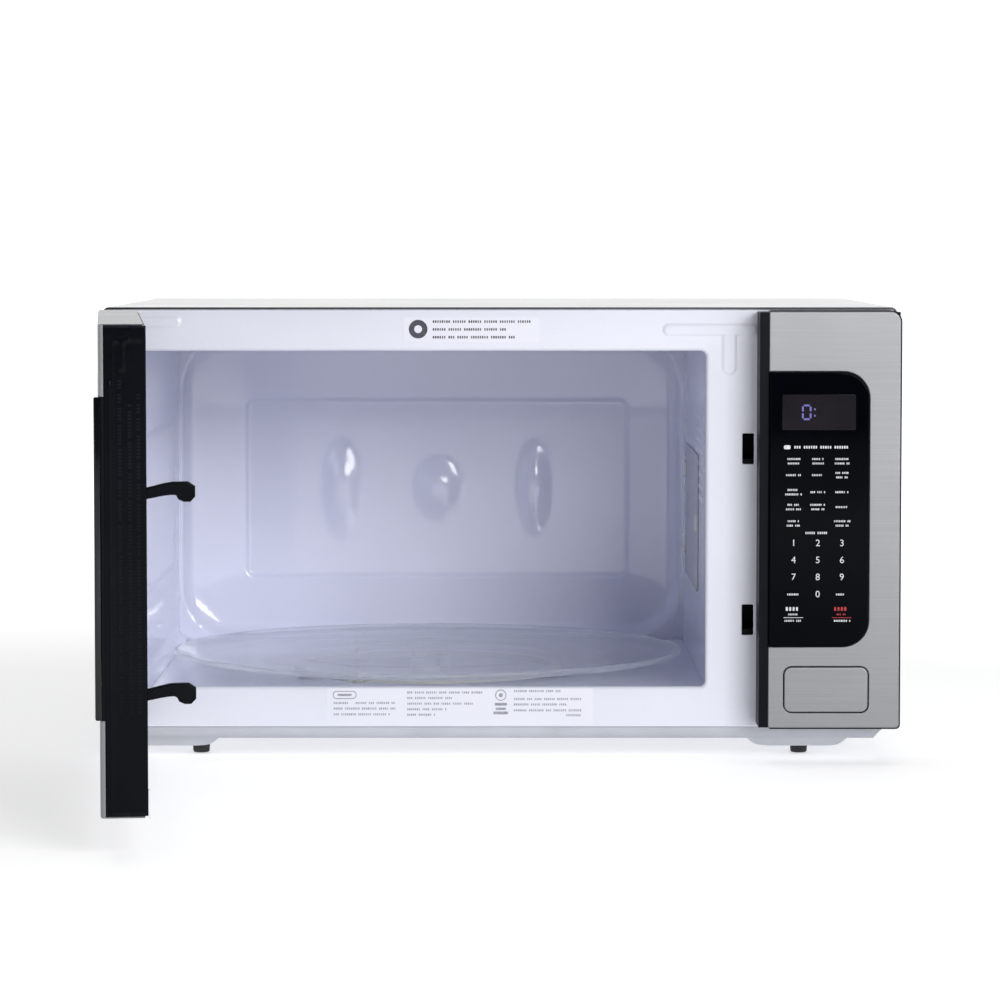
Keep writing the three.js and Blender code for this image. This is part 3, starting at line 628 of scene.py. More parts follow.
# A pressed bead: its height rises smoothly from the rim of a rounded strip to its full height inside.
def beadSolid(u0, u1, v0, v1, height):
    us = np.linspace(u0, u1, max(8, int((u1 - u0) / 0.8)))
    vs = np.linspace(v0, v1, max(8, int((v1 - v0) / 0.8)))
    u, v = gridOf(us, vs)
    radius = min(u1 - u0, v1 - v0) / 2
    distance = roundedDistance(u, v, ((u0 + u1) / 2, (v0 + v1) / 2), ((u1 - u0) / 2, (v1 - v0) / 2), radius)
    rise = height * smoothStep(-distance / min(radius, 2.2))
    front = np.stack([u, faceY - rise - 0.02, v], -1)
    back = np.stack([u, np.full_like(u, faceY + 0.3), v], -1)
    return gridSolid(front, back)


def addBeads():
    makePiece("flange_beads", [beadSolid(*bead) for bead in beads], "enamel")


# The two labels are plain film with rows of bars; rows are (start, height above the label's foot, length).
labels = {
    "warning": {"box": (-74, 30, 323.6, 342.8), "rows": [(22, 15.8, 79), (22, 9.8, 57), (22, 3.8, 64)],
                "bar": 2.0, "disc": (11, 10, 7.2)},
    "rating": {"box": (-134, 72, 26.9, 55.8), "bar": 1.7,
               "rows": [(5, 17.5, 12), (22, 17.5, 32), (5, 13.2, 49), (5, 8.7, 45),
                        (62, 25.7, 60), (62, 21.4, 38), (62, 17.0, 54), (62, 12.6, 32), (62, 8.4, 23),
                        (144.5, 26.8, 37), (144.5, 20.6, 54), (144.5, 16.4, 41), (144.5, 11.8, 55),
                        (185, 8, 14)]},
}


# A printed row: small separate marks with a wider gap after every few, none of them a letter.
def markRow(u, v, length, height):
    step = height * 0.86
    marks, left = [], int(rng.integers(3, 9))
    for i in range(max(2, int(length / step))):
        if left:
            marks.append((u + (i + 0.5) * step, v, step * float(rng.uniform(0.5, 0.74)), height))
            left -= 1
        else:
            left = int(rng.integers(3, 9))
    return marks


def addLabels():
    for name, label in labels.items():
        u0, u1, v0, v1 = label["box"]
        top = faceY - 0.18
        film = slabPlate([roundedLoop(u0, u1, v0, v1, 1.5, 5)], top, faceY - 0.02, 0.05)
        makePiece(name + "_label", [film], "label")
        bars = []
        for start, height, length in np.array(label["rows"], float):
            bars += markRow(u0 + start, v0 + height, length, label["bar"])
        makePiece(name + "_label_bars", [barSolids(bars, top, 0.06)],
                  "ink" if name == "warning" else "paleInk")
    u0, _, v0, _ = labels["warning"]["box"]
    u, v, radius = labels["warning"]["disc"]
    disc = slabPlate([circleLoop(u0 + u, v0 + v, radius, 32)], faceY - 0.26, faceY - 0.18, 0.03)
    hole = slabPlate([circleLoop(u0 + u, v0 + v, radius * 0.42, 24)], faceY - 0.32, faceY - 0.26, 0.03)
    makePiece("warning_label_disc", [disc], "ink")
    makePiece("warning_label_dot", [hole], "label")
    u0, _, v0, _ = labels["rating"]["box"]
    ringOf = circleLoop(u0 + 134.6, v0 + 23.6, 4.4, 32)
    layer = (faceY - 0.24, faceY - 0.18, 0.02)
    ring = slabPlate([ringOf, circleLoop(u0 + 134.6, v0 + 23.6, 3.6, 32)], *layer)
    badge = slabPlate([roundedLoop(u0 + 4.5, u0 + 23, v0 + 20.6, v0 + 27, 3.1, 8),
                       roundedLoop(u0 + 5.2, u0 + 22.3, v0 + 21.3, v0 + 26.3, 2.4, 8)], *layer)
    marks = barSolids([(u0 + 134.6, v0 + 23.6, 3, 3), (u0 + 134.6, v0 + 16.6, 9.5, 2.2),
                       (u0 + 134.6, v0 + 13, 8, 1.8),
                       (u0 + 134.6, v0 + 9.8, 11.5, 2.2), (u0 + 13.7, v0 + 23.8, 11, 1.8)], faceY - 0.18,
                      0.06)
    makePiece("rating_label_marks", [ring, badge, marks], "paleInk")


addFlange()
addBeads()
addLabels()
print("front flange made")

# The cavity's pressings.
cavity = {
    "panRadius": 44, "panRoll": 12, "panInset": 3, "dishSlope": 5,
    "panel": {"middle": (-55.2, 184.4), "half": (166.5, 77.3), "radius": 7, "step": 2.2},
    "ovals": [((-138.9, 182.4), (18.5, 46)), ((-54.8, 183.7), (23, 29.5)), ((29.8, 183.3), (17, 44))],
    "ovalRise": 4.5, "sheet": 0.8,
}


# The back pan: a dish that slopes to the rear from its rolled rim, a flat panel pressed one step
# deeper, and three flat-topped ovals raised from that panel.
def addBackPan():
    low, high = nodeBox("cavity_back_wall")
    backY = low[1]
    panel = cavity["panel"]
    (pu, pv), (hu, hv) = panel["middle"], panel["half"]
    spans = [np.arange(u - a - 3, u + a + 3, 2.0) for (u, _), (a, _) in cavity["ovals"]]
    xs = linesWith(innerLeft - 0.5, innerRight + 0.5, 5, (innerLeft + 7, innerRight - 7, pu - hu, pu + hu),
                   7, 1.3, spans)
    zs = linesWith(low[2], high[2], 5, (low[2] + 7, high[2] - 7, pv - hv, pv + hv), 7, 1.3,
                   [np.arange(134, 232, 2.2)])
    x, z = gridOf(xs, zs)
    middle = ((innerLeft + innerRight) / 2, (low[2] + high[2]) / 2)
    half = ((innerRight - innerLeft) / 2 - cavity["panInset"], (high[2] - low[2]) / 2 - cavity["panInset"])
    rim = roundedDistance(x, z, middle, half, cavity["panRadius"])
    roll = np.clip((rim + cavity["panRoll"]) / cavity["panRoll"], 0, 0.97)
    forward = cavity["panRoll"] * (1 - np.sqrt(1 - roll ** 2))
    inner = roundedDistance(x, z, panel["middle"], panel["half"], panel["radius"])
    slope = cavity["dishSlope"] * np.clip(inner / 52, 0, 1)
    step = panel["step"] * smoothStep((inner + 2.2) / 4.4)
    bulge = np.zeros_like(x)
    for (u, v), (a, b) in cavity["ovals"]:
        share = np.hypot((x - u) / a, (z - v) / b)
        bulge = np.maximum(bulge, cavity["ovalRise"] * smoothStep((1.04 - share) / 0.85))
    y = backY + panel["step"] - step - slope - forward - bulge
    front = np.stack([x, y, z], -1)
    back = front + np.array([0, cavity["sheet"], 0])
    makePiece("cavity_back_pan", [gridSolid(front, back)], "cavityEnamel",
              ["cavity_back_wall"], sharp=60)


# The floor is worked out round the turntable's centre: circles in the recess, then lines that run
# from the recess rim out to the floor's rectangle.
def addCavityFloor():
    low, high = nodeBox("cavity_floor")
    plateLow, plateHigh = nodeBox("glass_turntable")
    centre = (plateLow[:2] + plateHigh[:2]) / 2
    recess = {"radius": 150, "depth": 9}
    towardCorners = [math.atan2(y - centre[1], x - centre[0]) for x in (low[0], high[0])
                     for y in (low[1], high[1])]
    angle = np.unique(np.concatenate([np.linspace(-np.pi, np.pi, 145)[:-1], towardCorners]))
    spread = np.stack([np.cos(angle), np.sin(angle)], -1)
    reach = np.where(spread > 0, high[:2] - centre, centre - low[:2])
    edge = np.min(reach / np.maximum(np.abs(spread), 1e-9), axis=1)
    inside = np.concatenate([[9], np.linspace(20, recess["radius"] - 8, 10),
                             np.linspace(recess["radius"] - 6, recess["radius"] + 6, 15)])
    share = np.linspace(0, 1, 9)[1:]
    radii = np.concatenate([np.repeat(inside[None], len(angle), 0),
                            (recess["radius"] + 6) + share[None] * (edge[:, None] - recess["radius"] - 6)], 1)
    depth = recess["depth"] * (1 - smoothStep((radii - recess["radius"] + 5) / 10))
    z = floorTop - depth
    ringY = radii * spread[:, 1:] + centre[1]
    # The rear edge turns up into the back pan.
    z = z + 9 * (1 - np.sqrt(1 - np.clip((ringY - (high[1] - 13)) / 11, 0, 1) ** 2))
    front = np.stack([radii * spread[:, :1] + centre[0], ringY, z], -1)
    back = front - np.array([0, 0, cavity["sheet"]])
    both = np.concatenate([front, back[:, ::-1]], 1)
    makePiece("cavity_floor_pan", [sweptSolid(both, loop=True)], "cavityEnamel",
              ["cavity_floor"], sharp=60)


def sidePlace(x):
    def place(points):
        return np.stack([x + points[..., 2], points[..., 0], points[..., 1]], -1)
    return place


# Side walls: the left one plain with a long shallow rib, the right one with the lamp's holes punched through.
def addSideWalls():
    low, high = nodeBox("cavity_left_wall")
    y, z = gridOf(linesWith(low[1], high[1], 8, (300,), 14, 2),
                  linesWith(low[2], high[2], 8, (130, 240), 14, 2))
    rib = roundedDistance(y, z, (245, 185), (150, 62), 14)
    inward = 1.6 * smoothStep((3 - rib) / 7)
    turnIn = 7 * (1 - np.sqrt(1 - np.clip((low[2] + 8 - z) / 8, 0, 1) ** 2))
    front = np.stack([high[0] + inward + turnIn, y, z], -1)
    back = np.stack([high[0] + inward + turnIn - cavity["sheet"], y, z], -1)
    makePiece("cavity_left_liner", [gridSolid(front, back)], "cavityEnamel",
              ["cavity_left_wall"], sharp=60)

    low, high = nodeBox("cavity_right_wall")
    outer = roundedLoop(low[1], high[1], low[2], high[2], 0.5, 3)
    rows, columns = gridOf(np.arange(8), np.arange(12))
    holes = np.stack([118 + columns * 9.5 + (rows % 2) * 4.7, 196 + rows * 9.0], -1).reshape(-1, 2)
    vents = np.concatenate([holes, [[88, 240], [88, 222], [100, 262]]])
    loops = [outer] + [circleLoop(u, v, 2.3, 10) for u, v in vents]
    edges = [slabEdge(low[0], low[0] + 0.9, 0.15)] + [slabEdge(low[0], low[0] + 0.9, 0.3, 0.1,
                                                               3)] * len(vents)
    wall = edgedPlate(loops, [edge - np.array([0, low[0]]) for edge in edges], sidePlace(low[0]))
    makePiece("cavity_right_liner", [wall], "cavityEnamel", ["cavity_right_wall"])

    low, high = nodeBox("cavity_roof")
    x, y = gridOf(linesWith(low[0], high[0], 12), linesWith(low[1], high[1], 12))
    press = roundedDistance(x, y, ((low[0] + high[0]) / 2, (low[1] + high[1]) / 2), (150, 140), 30)
    rise = 2.0 * smoothStep(-press / 8)
    front = np.stack([x, y, low[2] + rise], -1)
    back = np.stack([x, y, low[2] + rise + cavity["sheet"]], -1)
    makePiece("cavity_roof_liner", [gridSolid(front, back)], "cavityEnamel",
              ["cavity_roof"], sharp=60)


# The mica sheet with its three moulded clips.
def addMica():
    low, high = nodeBox("waveguide_cover")
    face = roundedLoop(low[1], high[1], low[2], high[2], 6, 6)
    sheet = slabPlate([face], 0, high[0] - low[0], 0.2, place=sidePlace(low[0]))
    makePiece("mica_sheet", [sheet], "mica", ["waveguide_cover"])
    clips = []
    for y, z in ((high[1] - 6, high[2] - 22), (high[1] - 6, low[2] + 24),
                 (low[1] + 8, (low[2] + high[2]) / 2)):
        clips.append(slabPlate([roundedLoop(y - 5, y + 5, z - 7, z + 7, 3, 5)], -1.6, 0.2, 0.7, 0.1,
                               place=sidePlace(low[0])))
    makePiece("mica_clips", clips, "whitePlastic")


addBackPan()
addCavityFloor()
addSideWalls()
addMica()
print("cavity made")

# The glass dish: a closed profile of radius and height, turned about the dish's own axis.
def addTurntable():
    low, high = nodeBox("glass_turntable")
    centre = (low + high) / 2
    radius = (high[0] - low[0]) / 2
    base, top = low[2], high[2]
    wall = base + 4.6
    r = np.array([
        0, radius - 34, radius - 30, radius - 27, radius - 12, radius - 4, radius - 1.2, radius - 0.2,
        radius - 0.4,
        radius - 1.6, radius - 3.4, radius - 5, radius - 14, radius - 28, radius - 32, radius - 36, 0])
    z = np.array([
        base, base, base + 0.3, base + 1.0, base + 2.4, top - 5.0, top - 3.4, top - 2.0, top - 0.8,
        top - 0.1, top, top - 0.8, wall + 1.6, wall + 0.5, wall + 0.1, wall, wall])
    profile = np.stack([r, z], -1)
    makePiece("turntable_dish", [turnedSolid(profile, (centre[0], centre[1], 0), 144)], "glass",
              ["glass_turntable"], "turntable", sharp=50)
    # Three pressed feet under the glass locate it on the coupler.
    pegs = []
    for i in range(3):
        a = 2 * math.pi * (i + 0.5) / 3
        peg = [(0, base - 0.1), (4, base - 0.1), (5, base + 0.05), (0, base + 0.06)]
        pegs.append(turnedSolid(peg, (centre[0] + 20 * math.cos(a), centre[1] + 20 * math.sin(a), 0), 20))
    makePiece("turntable_pegs", pegs, "glass", (), "turntable")


addTurntable()
print("turntable made")

# The cover's sheet, and the louvres: first place, pitch and count along y and z.
cover = {"corner": 5, "sheet": 0.8, "hem": 2.2, "lift": 5.5, "inset": 1.2}
louvre = {"y": (330, 13, 9), "z": (236, 30, 3), "half": (3.4, 11), "rise": 1.1}


# The cover's cross section runs up one side, over the top and down the other; it is carried to the rear
# with a rolled hem at the front.
def addCover():
    low, high = nodeBox("outer_wrap")
    low[0], high[0] = low[0] + cover["inset"], high[0] - cover["inset"]
    radius = cover["corner"]
    arc = np.radians(np.linspace(180, 90, 9))
    left = np.stack([low[0] + radius + radius * np.cos(arc), high[2] - radius + radius * np.sin(arc)], -1)
    right = left[::-1] * [-1, 1] + [low[0] + high[0], 0]
    sideZ = np.linspace(low[2] + cover["lift"], high[2] - radius, 14)[:-1]
    topX = np.linspace(low[0] + radius, high[0] - radius, 26)[1:-1]
    path = np.concatenate([np.stack([np.full_like(sideZ, low[0]), sideZ], -1), left,
                           np.stack([topX, np.full_like(topX, high[2])], -1), right,
                           np.stack([np.full_like(sideZ, high[0]), sideZ[::-1]], -1)])
    middle = np.array([(low[0] + high[0]) / 2, (low[2] + high[2]) / 2])
    half = np.array([(high[0] - low[0]) / 2, (high[2] - low[2]) / 2])

    def shrunk(inset):
        return middle + (path - middle) * (half - inset) / half

    hem, sheet = cover["hem"], cover["sheet"]
    stations = [(hem, low[1] + 6), (hem, low[1] + 0.5), (hem - 0.5, low[1]), (0.5, low[1]), (0, low[1] + 0.6)]
    stations += [(0, y) for y in np.linspace(low[1] + 8, high[1] - 2, 16)]
    stations += [(0.5, high[1]), (sheet, high[1] - 0.5)]
    stations += [(sheet, y) for y in np.linspace(high[1] - 8, low[1] + 8, 16)]
    sections = []
    for inset, y in stations:
        ring = shrunk(inset)
        sections.append(np.stack([ring[:, 0], np.full(len(ring), y), ring[:, 1]], -1))
    makePiece("outer_cover", [sweptSolid(np.transpose(np.array(sections), (1, 0, 2)))], "coverSteel", 
              ["outer_wrap"])

    # A narrow dark band along the cover's mouth: painted shade for the shadow line where the flange's top
    # meets the cover.
    def arch(inset):
        turn = np.radians(np.linspace(0, 90, 9))
        x, z = (radius - inset) * np.cos(turn), high[2] - radius + (radius - inset) * np.sin(turn)
        foot = low[2] + cover["lift"]
        return np.concatenate([[[high[0] - inset, foot]], np.stack([high[0] - radius + x, z], -1),
                               np.stack([low[0] + radius - x[::-1], z[::-1]], -1), [[low[0] + inset, foot]]])

    shadeBand = np.concatenate([arch(0.1), arch(1.7)[::-1]])
    makePiece("cover_front_shade_band", [slabPlate([shadeBand], low[1] - 0.5, low[1] + 1, 0.2, 0.1)], "shadeBandAndLouvreSteel")

    # Pressed louvres toward the rear of both sides, each a small scoop standing proud.
    (firstY, stepY, countY), (firstZ, stepZ, countZ) = louvre["y"], louvre["z"]
    halfU, halfV = louvre["half"]
    u, v = gridOf(np.linspace(-halfU, halfU, 7), np.linspace(-halfV, halfV, 11))
    rise = louvre["rise"] * smoothStep(-roundedDistance(u, v, (0, 0), louvre["half"], 3.3) / 2.0)
    scoops = []
    for wallX, side in ((low[0], -1), (high[0], 1)):
        for z in firstZ + stepZ * np.arange(countZ):
            for y in firstY + stepY * np.arange(countY):
                front = np.stack([wallX + side * rise, y + u, z + v], -1)
                back = np.stack([wallX - side * 0.5 + 0 * u, y + u, z + v], -1)
                scoops.append(gridSolid(front, back))
    makePiece("cover_louvres", scoops, "shadeBandAndLouvreSteel", sharp=50)


# A pan-head screw: a domed head with a cross recess pressed into its face.
def screwSolid(centre, axis, radius=3.6, turn=0.4):
    s = np.linspace(0, 1, 9)
    angle = np.linspace(0, 2 * np.pi, 32, endpoint=False)
    r, a = gridOf(s, angle)
    u, v = radius * r * np.cos(a), radius * r * np.sin(a)
    uu = u * math.cos(turn) + v * math.sin(turn)
    vv = v * math.cos(turn) - u * math.sin(turn)
    arm = np.minimum(np.maximum(np.abs(uu) - radius * 0.62, np.abs(vv) - radius * 0.13),
                     np.maximum(np.abs(vv) - radius * 0.62, np.abs(uu) - radius * 0.13))
    height = 2.0 * np.sqrt(np.maximum(1 - (r * 0.94) ** 2, 0)) - 1.1 * smoothStep(-arm / 0.4)
    top = np.stack([u, v, height], -1)
    bottom = np.stack([u, v, np.full_like(u, -0.2)], -1)
    points = np.concatenate([top, bottom[::-1]], 0)
    points = np.transpose(points, (1, 0, 2))
    order = {"y": [0, 2, 1], "x": [2, 0, 1]}[axis[-1]]
    sign = np.array([1, 1, -1]) if axis[0] == "-" else np.ones(3)
    return sweptSolid((points * sign)[..., order] + np.array(centre, float), loop=True)


# The rear panel's slots stand in two rows; its pressing is a shallow rounded rise.
rear = {"slotMiddles": (-190, 240), "pitch": 9, "slotHeights": (232, 292), "pressMiddle": (20, 178),
        "pressHalf": (110, 90), "pressRise": 2.6}


def addRear():
    low, high = nodeBox("rear_panel")
    glandLow, glandHigh = nodeBox("cord_gland")
    gland = (glandLow + glandHigh) / 2
    outer = faceLoop(low, high, 3, 6)
    slotAts = [middle + i * rear["pitch"] for middle in rear["slotMiddles"] for i in range(-5, 6)]
    slots = [roundedLoop(at - 2, at + 2, *rear["slotHeights"], 1.9, 4) for at in slotAts]
    slots.append(circleLoop(gland[0], gland[2], 9.3, 32))
    thickness = high[1] - low[1]
    # Depth runs from the visible rear face inward.
    edges = [slabEdge(0, thickness, 0.4, 0.2)] + [slabEdge(0, thickness, 0.3, 0.1, 3)] * len(slots)

    def place(points):
        return np.stack([points[..., 0], high[1] - points[..., 2], points[..., 1]], -1)

    makePiece("rear_cover", [edgedPlate([outer, *slots], edges, place)], "zinc",
              ["rear_panel"])
    (halfU, halfV), (middleU, middleV) = rear["pressHalf"], rear["pressMiddle"]
    u, v = gridOf(np.linspace(-1, 1, 61) * (halfU + 2), np.linspace(-1, 1, 41) * (halfV + 2))
    rise = rear["pressRise"] * smoothStep(-roundedDistance(u, v, (0, 0), rear["pressHalf"], 24) / 9)
    front = np.stack([u + middleU, high[1] - 0.03 + rise, v + middleV], -1)
    back = np.stack([u + middleU, np.full_like(u, high[1] - 0.2), v + middleV], -1)
    makePiece("rear_pressing", [gridSolid(front, back)], "zinc", sharp=60)
    spots = [(x, z) for x in (low[0] + 12, 0, high[0] - 12) for z in (low[2] + 14, high[2] - 12)]
    spots += [(low[0] + 12, 185), (high[0] - 12, 185)]
    heads = [screwSolid((x, high[1], z), "+y", 3.6, 0.4 + i) for i, (x, z) in enumerate(spots)]
    makePiece("rear_screws", heads, "zinc")
    # The side screws sit deep enough that nothing stands past the cover's own box.
    sideScrews = [screwSolid((x, y, z), axis, 3.4, 0.9)
                  for x, axis in ((low[0] + 1, "-x"), (high[0] - 1, "+x"))
                  for y, z in ((60, 36), (450, 36), (450, 330))]
    makePiece("side_screws", sideScrews, "zinc")


# The pads' sides, the tray's underside, and how far the pads and the rubber feet reach past the feet's boxes.
base = {"padX": ((-296, -226), (199, 266)), "bottom": 16, "aboveFoot": 2.6, "footTaller": 2.2}


# The base tray: flat, with a long pressed pad round each foot that reaches the tray's side on the left.
def addBase():
    low, high = nodeBox("base_pan")
    rows = [nodeBox("foot_front_left"), nodeBox("foot_rear_left")]
    padX, panBottom = base["padX"], base["bottom"]
    padLow = rows[0][1][2] + base["aboveFoot"]
    xs = linesWith(low[0], high[0], 8, [x for pair in padX for x in pair], 12, 2.2)
    ys = linesWith(low[1], high[1], 8, [v for r in rows for v in (r[0][1] - 22, r[1][1] + 22)], 12, 2.2)
    x, y = gridOf(xs, ys)
    z = np.full_like(x, panBottom)
    for x0, x1 in padX:
        for r in rows:
            middle = ((x0 + x1) / 2, (r[0][1] + r[1][1]) / 2)
            pad = roundedDistance(x, y, middle, ((x1 - x0) / 2, 26), 14)
            z = z - (panBottom - padLow) * smoothStep((-pad + 12) / 14)
    belly = roundedDistance(x, y, (-10, 256), (180, 130), 40)
    z = z + 2.4 * smoothStep(-belly / 8)
    rim = np.minimum(np.minimum(x - low[0], high[0] - x), np.minimum(y - low[1], high[1] - y))
    z = z + (high[2] - z) * (1 - np.sqrt(np.clip(1 - (1 - np.clip(rim / 6, 0, 1)) ** 2, 0, 1)))
    front = np.stack([x, y, z], -1)
    back = front + np.array([0, 0, 0.8])
    makePiece("base_tray", [gridSolid(front, back)], "paintedPan", ["base_pan"],
              sharp=70)
    for name in ("foot_front_left", "foot_front_right", "foot_rear_left", "foot_rear_right"):
        footLow, footHigh = nodeBox(name)
        centre = (footLow + footHigh) / 2
        radius = (footHigh[0] - footLow[0]) / 2
        top = footHigh[2] + base["footTaller"]
        profile = [(0, 0), (radius - 2, 0), (radius - 1.1, 0.25), (radius - 0.6, 0.9),
                   (radius - 0.2, top - 1.2), (radius, top - 0.4), (radius - 0.4, top), (0, top)]
        makePiece("pad_" + name, [turnedSolid(profile, (centre[0], centre[1], 0), 40)], "rubber",
                  [name], sharp=50)


addCover()
addRear()
addBase()
print("outer cover, rear and base made")

# The control panel's rounds; the four corners are lower left, lower right, upper right, upper left.
panel = {"corner": (1.6, 2.5, 8, 1.6), "keyRound": 0.9, "glassBevel": 1.2, "glassCorner": 20, "rim": 0.9}
skinLow, skinHigh = nodeBox("panel_skin")
glassLow, glassHigh = nodeBox("keypad_glass")
keyLow, keyHigh = nodeBox("release_button")
# What the keypad shows: everything is measured from the glass's own lower left corner.
keypad = {
    "columns": (18.8, 37.3, 55.7),
    "digits": {"rows": (79.3, 66.3, 53.3, 40.1), "height": 5.2},
    "smallRows": [142, 131.4, 118.4, 107, 94.5],
    "heading": (36.6, 152.7, 51, 2.2), "subHeading": (37.4, 87.2, 20, 1.8),
    "display": (37.8, 179.3, 56, 27),
}


def addPanel():
    right, top, foot = skinHigh[0] - panel["rim"], skinHigh[2] - panel["rim"], skinLow[2] + panel["rim"]
    outer = roundedLoop(skinLow[0], right, foot, top, panel["corner"], 8)
    rimOuter = roundedLoop(skinLow[0] + 0.2, skinHigh[0], skinLow[2], skinHigh[2], (2.2, 3.4, 8.8, 2.2), 8)
    rimInner = roundedLoop(skinLow[0] + 2.5, right - 1, foot + 1, top - 1, (1.2, 1.6, 7.2, 1.2), 8)
    rim = edgedPlate([rimOuter, rimInner], [slabEdge(0.7, 24, 0.5, 0.1), slabEdge(0.95, 1.6, 0.05)])
    makePiece("control_face_rim", [rim], "plastic")
    gap = 0.3
    hole = roundedLoop(skinLow[0] - 1, glassHigh[0] + gap, glassLow[2] - gap, glassHigh[2] + gap,
                       (0, panel["glassCorner"], panel["glassCorner"], 0), 12)
    # The glass reaches the face's left edge, so the face is one outline that goes round it.
    inner = hole[(hole[:, 0] > skinLow[0])]
    lowerRight = inner[inner[:, 1] < (glassLow[2] + glassHigh[2]) / 2]
    upperRight = inner[inner[:, 1] >= (glassLow[2] + glassHigh[2]) / 2]
    notch = np.concatenate([[[skinLow[0], glassHigh[2] + gap]], upperRight[::-1], lowerRight[::-1],
                            [[skinLow[0], glassLow[2] - gap]]])
    corner = panel["corner"][3]
    start = np.argmin(np.hypot(outer[:, 0] - skinLow[0], outer[:, 1] - (top - corner)))
    face = np.concatenate([np.roll(outer, -(len(outer) - 1 - start), 0), notch])
    reach = np.full(len(face), 1.0)
    onOuter = np.arange(len(face)) < len(outer)
    reach[onOuter & (face[:, 0] > skinLow[0] + 0.01)] = 24
    button = faceLoop(keyLow, keyHigh, 6.5, 8, 0.7)
    plate = edgedPlate([face, button], [foldedEdge(0, 0.9, 0.95, reach), slabEdge(0, 0.95, 0.5, 0.05)])
    makePiece("control_face", [plate], "steel", ["panel_skin"])

    r = panel["glassCorner"]
    pane = faceLoop(glassLow, glassHigh, (0, r, r, 0), 14)
    makePiece("keypad_pane", [slabPlate([pane], glassLow[1], glassHigh[1], panel["glassBevel"], 0.2, 5)],
              "blackGlass", ["keypad_glass"])

    width, height = keyHigh[0] - keyLow[0], keyHigh[2] - keyLow[2]
    cap = slabPlate([faceLoop(keyLow, keyHigh, 5.6)], keyLow[1], keyLow[1] + 7, panel["keyRound"], 0.3, 5)
    stem = turnedSolid([(0, 6), (4, 6), (4, 26.4), (3.6, 26.8), (0, 26.8)],
                       (keyLow[0] + width / 2, 0, keyLow[2] + height / 2), 24, "y")
    makePiece("release_key", [cap, stem], "steel", ["release_button"], "release_button")


# The lit segments of one digit: bars along its width, and bars upward at its sides.
def bodySegments(u, v, height, lit):
    width = height * 0.56
    bar = height * 0.13
    along = {"a": 0.5, "d": -0.5, "g": 0}
    upward = {"b": (0.5, 0.25), "c": (0.5, -0.25), "e": (-0.5, -0.25), "f": (-0.5, 0.25)}
    return [(u, v + along[name] * height, width - bar, bar) if name in along else
            (u + upward[name][0] * width, v + upward[name][1] * height, bar, height / 2 - bar)
            for name in lit]


def addLegends():
    front = glassLow[1]
    origin = np.array([glassLow[0], glassLow[2]])
    white, grey, red, lit = [], [], [], []

    def put(rows, u, v, width, height):
        rows.append((origin[0] + u, origin[1] + v, width, height))

    u, v, width, height = keypad["display"]
    window = roundedLoop(origin[0] + u - width / 2, origin[0] + u + width / 2, origin[1] + v - height / 2,
                         origin[1] + v + height / 2, 1.2, 4)
    makePiece("display_window", [slabPlate([window], front - 0.12, front - 0.01, 0.03)], "smokedGlass")
    digitU, digitV, digitHeight = origin[0] + u - 9.5, origin[1] + v, 10.5
    lit += bodySegments(digitU, digitV, digitHeight, "abcdef")
    lit += [(digitU + 6.2, digitV + 2.3, 1.3, 1.3), (digitU + 6.2, digitV - 2.6, 1.3, 1.3)]
    makePiece("display_digits", [barSolids(lit, front - 0.12, 0.05)], "glow")

    def wordRow(middle, v, width, height=1.5, rows=white):
        for u, _, markWidth, _ in markRow(middle - width / 2, v, width, height):
            put(rows, u, v, markWidth, height)

    wordRow(keypad["heading"][0] + 3, keypad["heading"][1], 42, 2.1)
    put(white, keypad["heading"][0] - 23, keypad["heading"][1], 5, 3.0)
    wordRow(*keypad["subHeading"])
    pairs = {0: (2, 2, 2), 1: (1, 1, 2), 2: (2, 1, 1), 3: (2, 2, 1), 4: (2, 0, 2)}
    for row, base in enumerate(keypad["smallRows"]):
        for column, lines in enumerate(pairs[row]):
            for line in range(lines):
                offset = (1.7 - 3.4 * line) if lines == 2 else 0
                wordRow(keypad["columns"][column], base + offset, float(rng.uniform(9, 13.5)))
    lastRow = keypad["digits"]["rows"][3]
    wordRow(keypad["columns"][0], lastRow, 10)
    wordRow(keypad["columns"][2], lastRow, 9)
    for column, rows in ((0, white), (2, red)):
        middle = keypad["columns"][column]
        wordRow(middle, 29, 12.5, 3.0, rows)
        wordRow(middle, 24.8, 8, 1.4, rows)
        put(rows, middle, 22.3, 15, 0.45)
        wordRow(middle + column / 2, 19.9, 14)
    makePiece("keypad_bars", [barSolids(white, front, 0.05)], "whiteInk")
    makePiece("keypad_red_bars", [barSolids(red, front, 0.05)], "redInk")

    # Numerals: plain text outlines made into a mesh and laid on the glass.
    numerals = []
    labelsAt = [(str(1 + row * 3 + column), column, row) for row in range(3)
                for column in range(3)] + [("0", 1, 3)]
    size = keypad["digits"]["height"] / 0.72
    for text, column, row in labelsAt:
        curve = bpy.data.curves.new("numeral", "FONT")
        curve.body = text
        curve.size = size
        curve.extrude = 0.025
        curve.align_x, curve.align_y = "CENTER", "CENTER"
        curve.resolution_u = 4
        shown = bpy.data.objects.new("numeral", curve)
        scene.collection.objects.link(shown)
        bpy.context.view_layer.update()
        mesh = shown.evaluated_get(bpy.context.evaluated_depsgraph_get()).to_mesh()
        flat = np.zeros(len(mesh.vertices) * 3, np.float32)
        mesh.vertices.foreach_get("co", flat)
        flat = flat.reshape(-1, 3)
        polygons = [list(polygon.vertices) for polygon in mesh.polygons]
        x = origin[0] + keypad["columns"][column] + flat[:, 0]
        z = origin[1] + keypad["digits"]["rows"][row] + flat[:, 1]
        numerals.append((np.stack([x, front - 0.03 - flat[:, 2], z], -1),
                         [[polygon] for polygon in polygons]))
        bpy.data.objects.remove(shown)
    makePiece("keypad_numerals", numerals, "whiteInk")


addPanel()
addLegends()
print("control panel made")

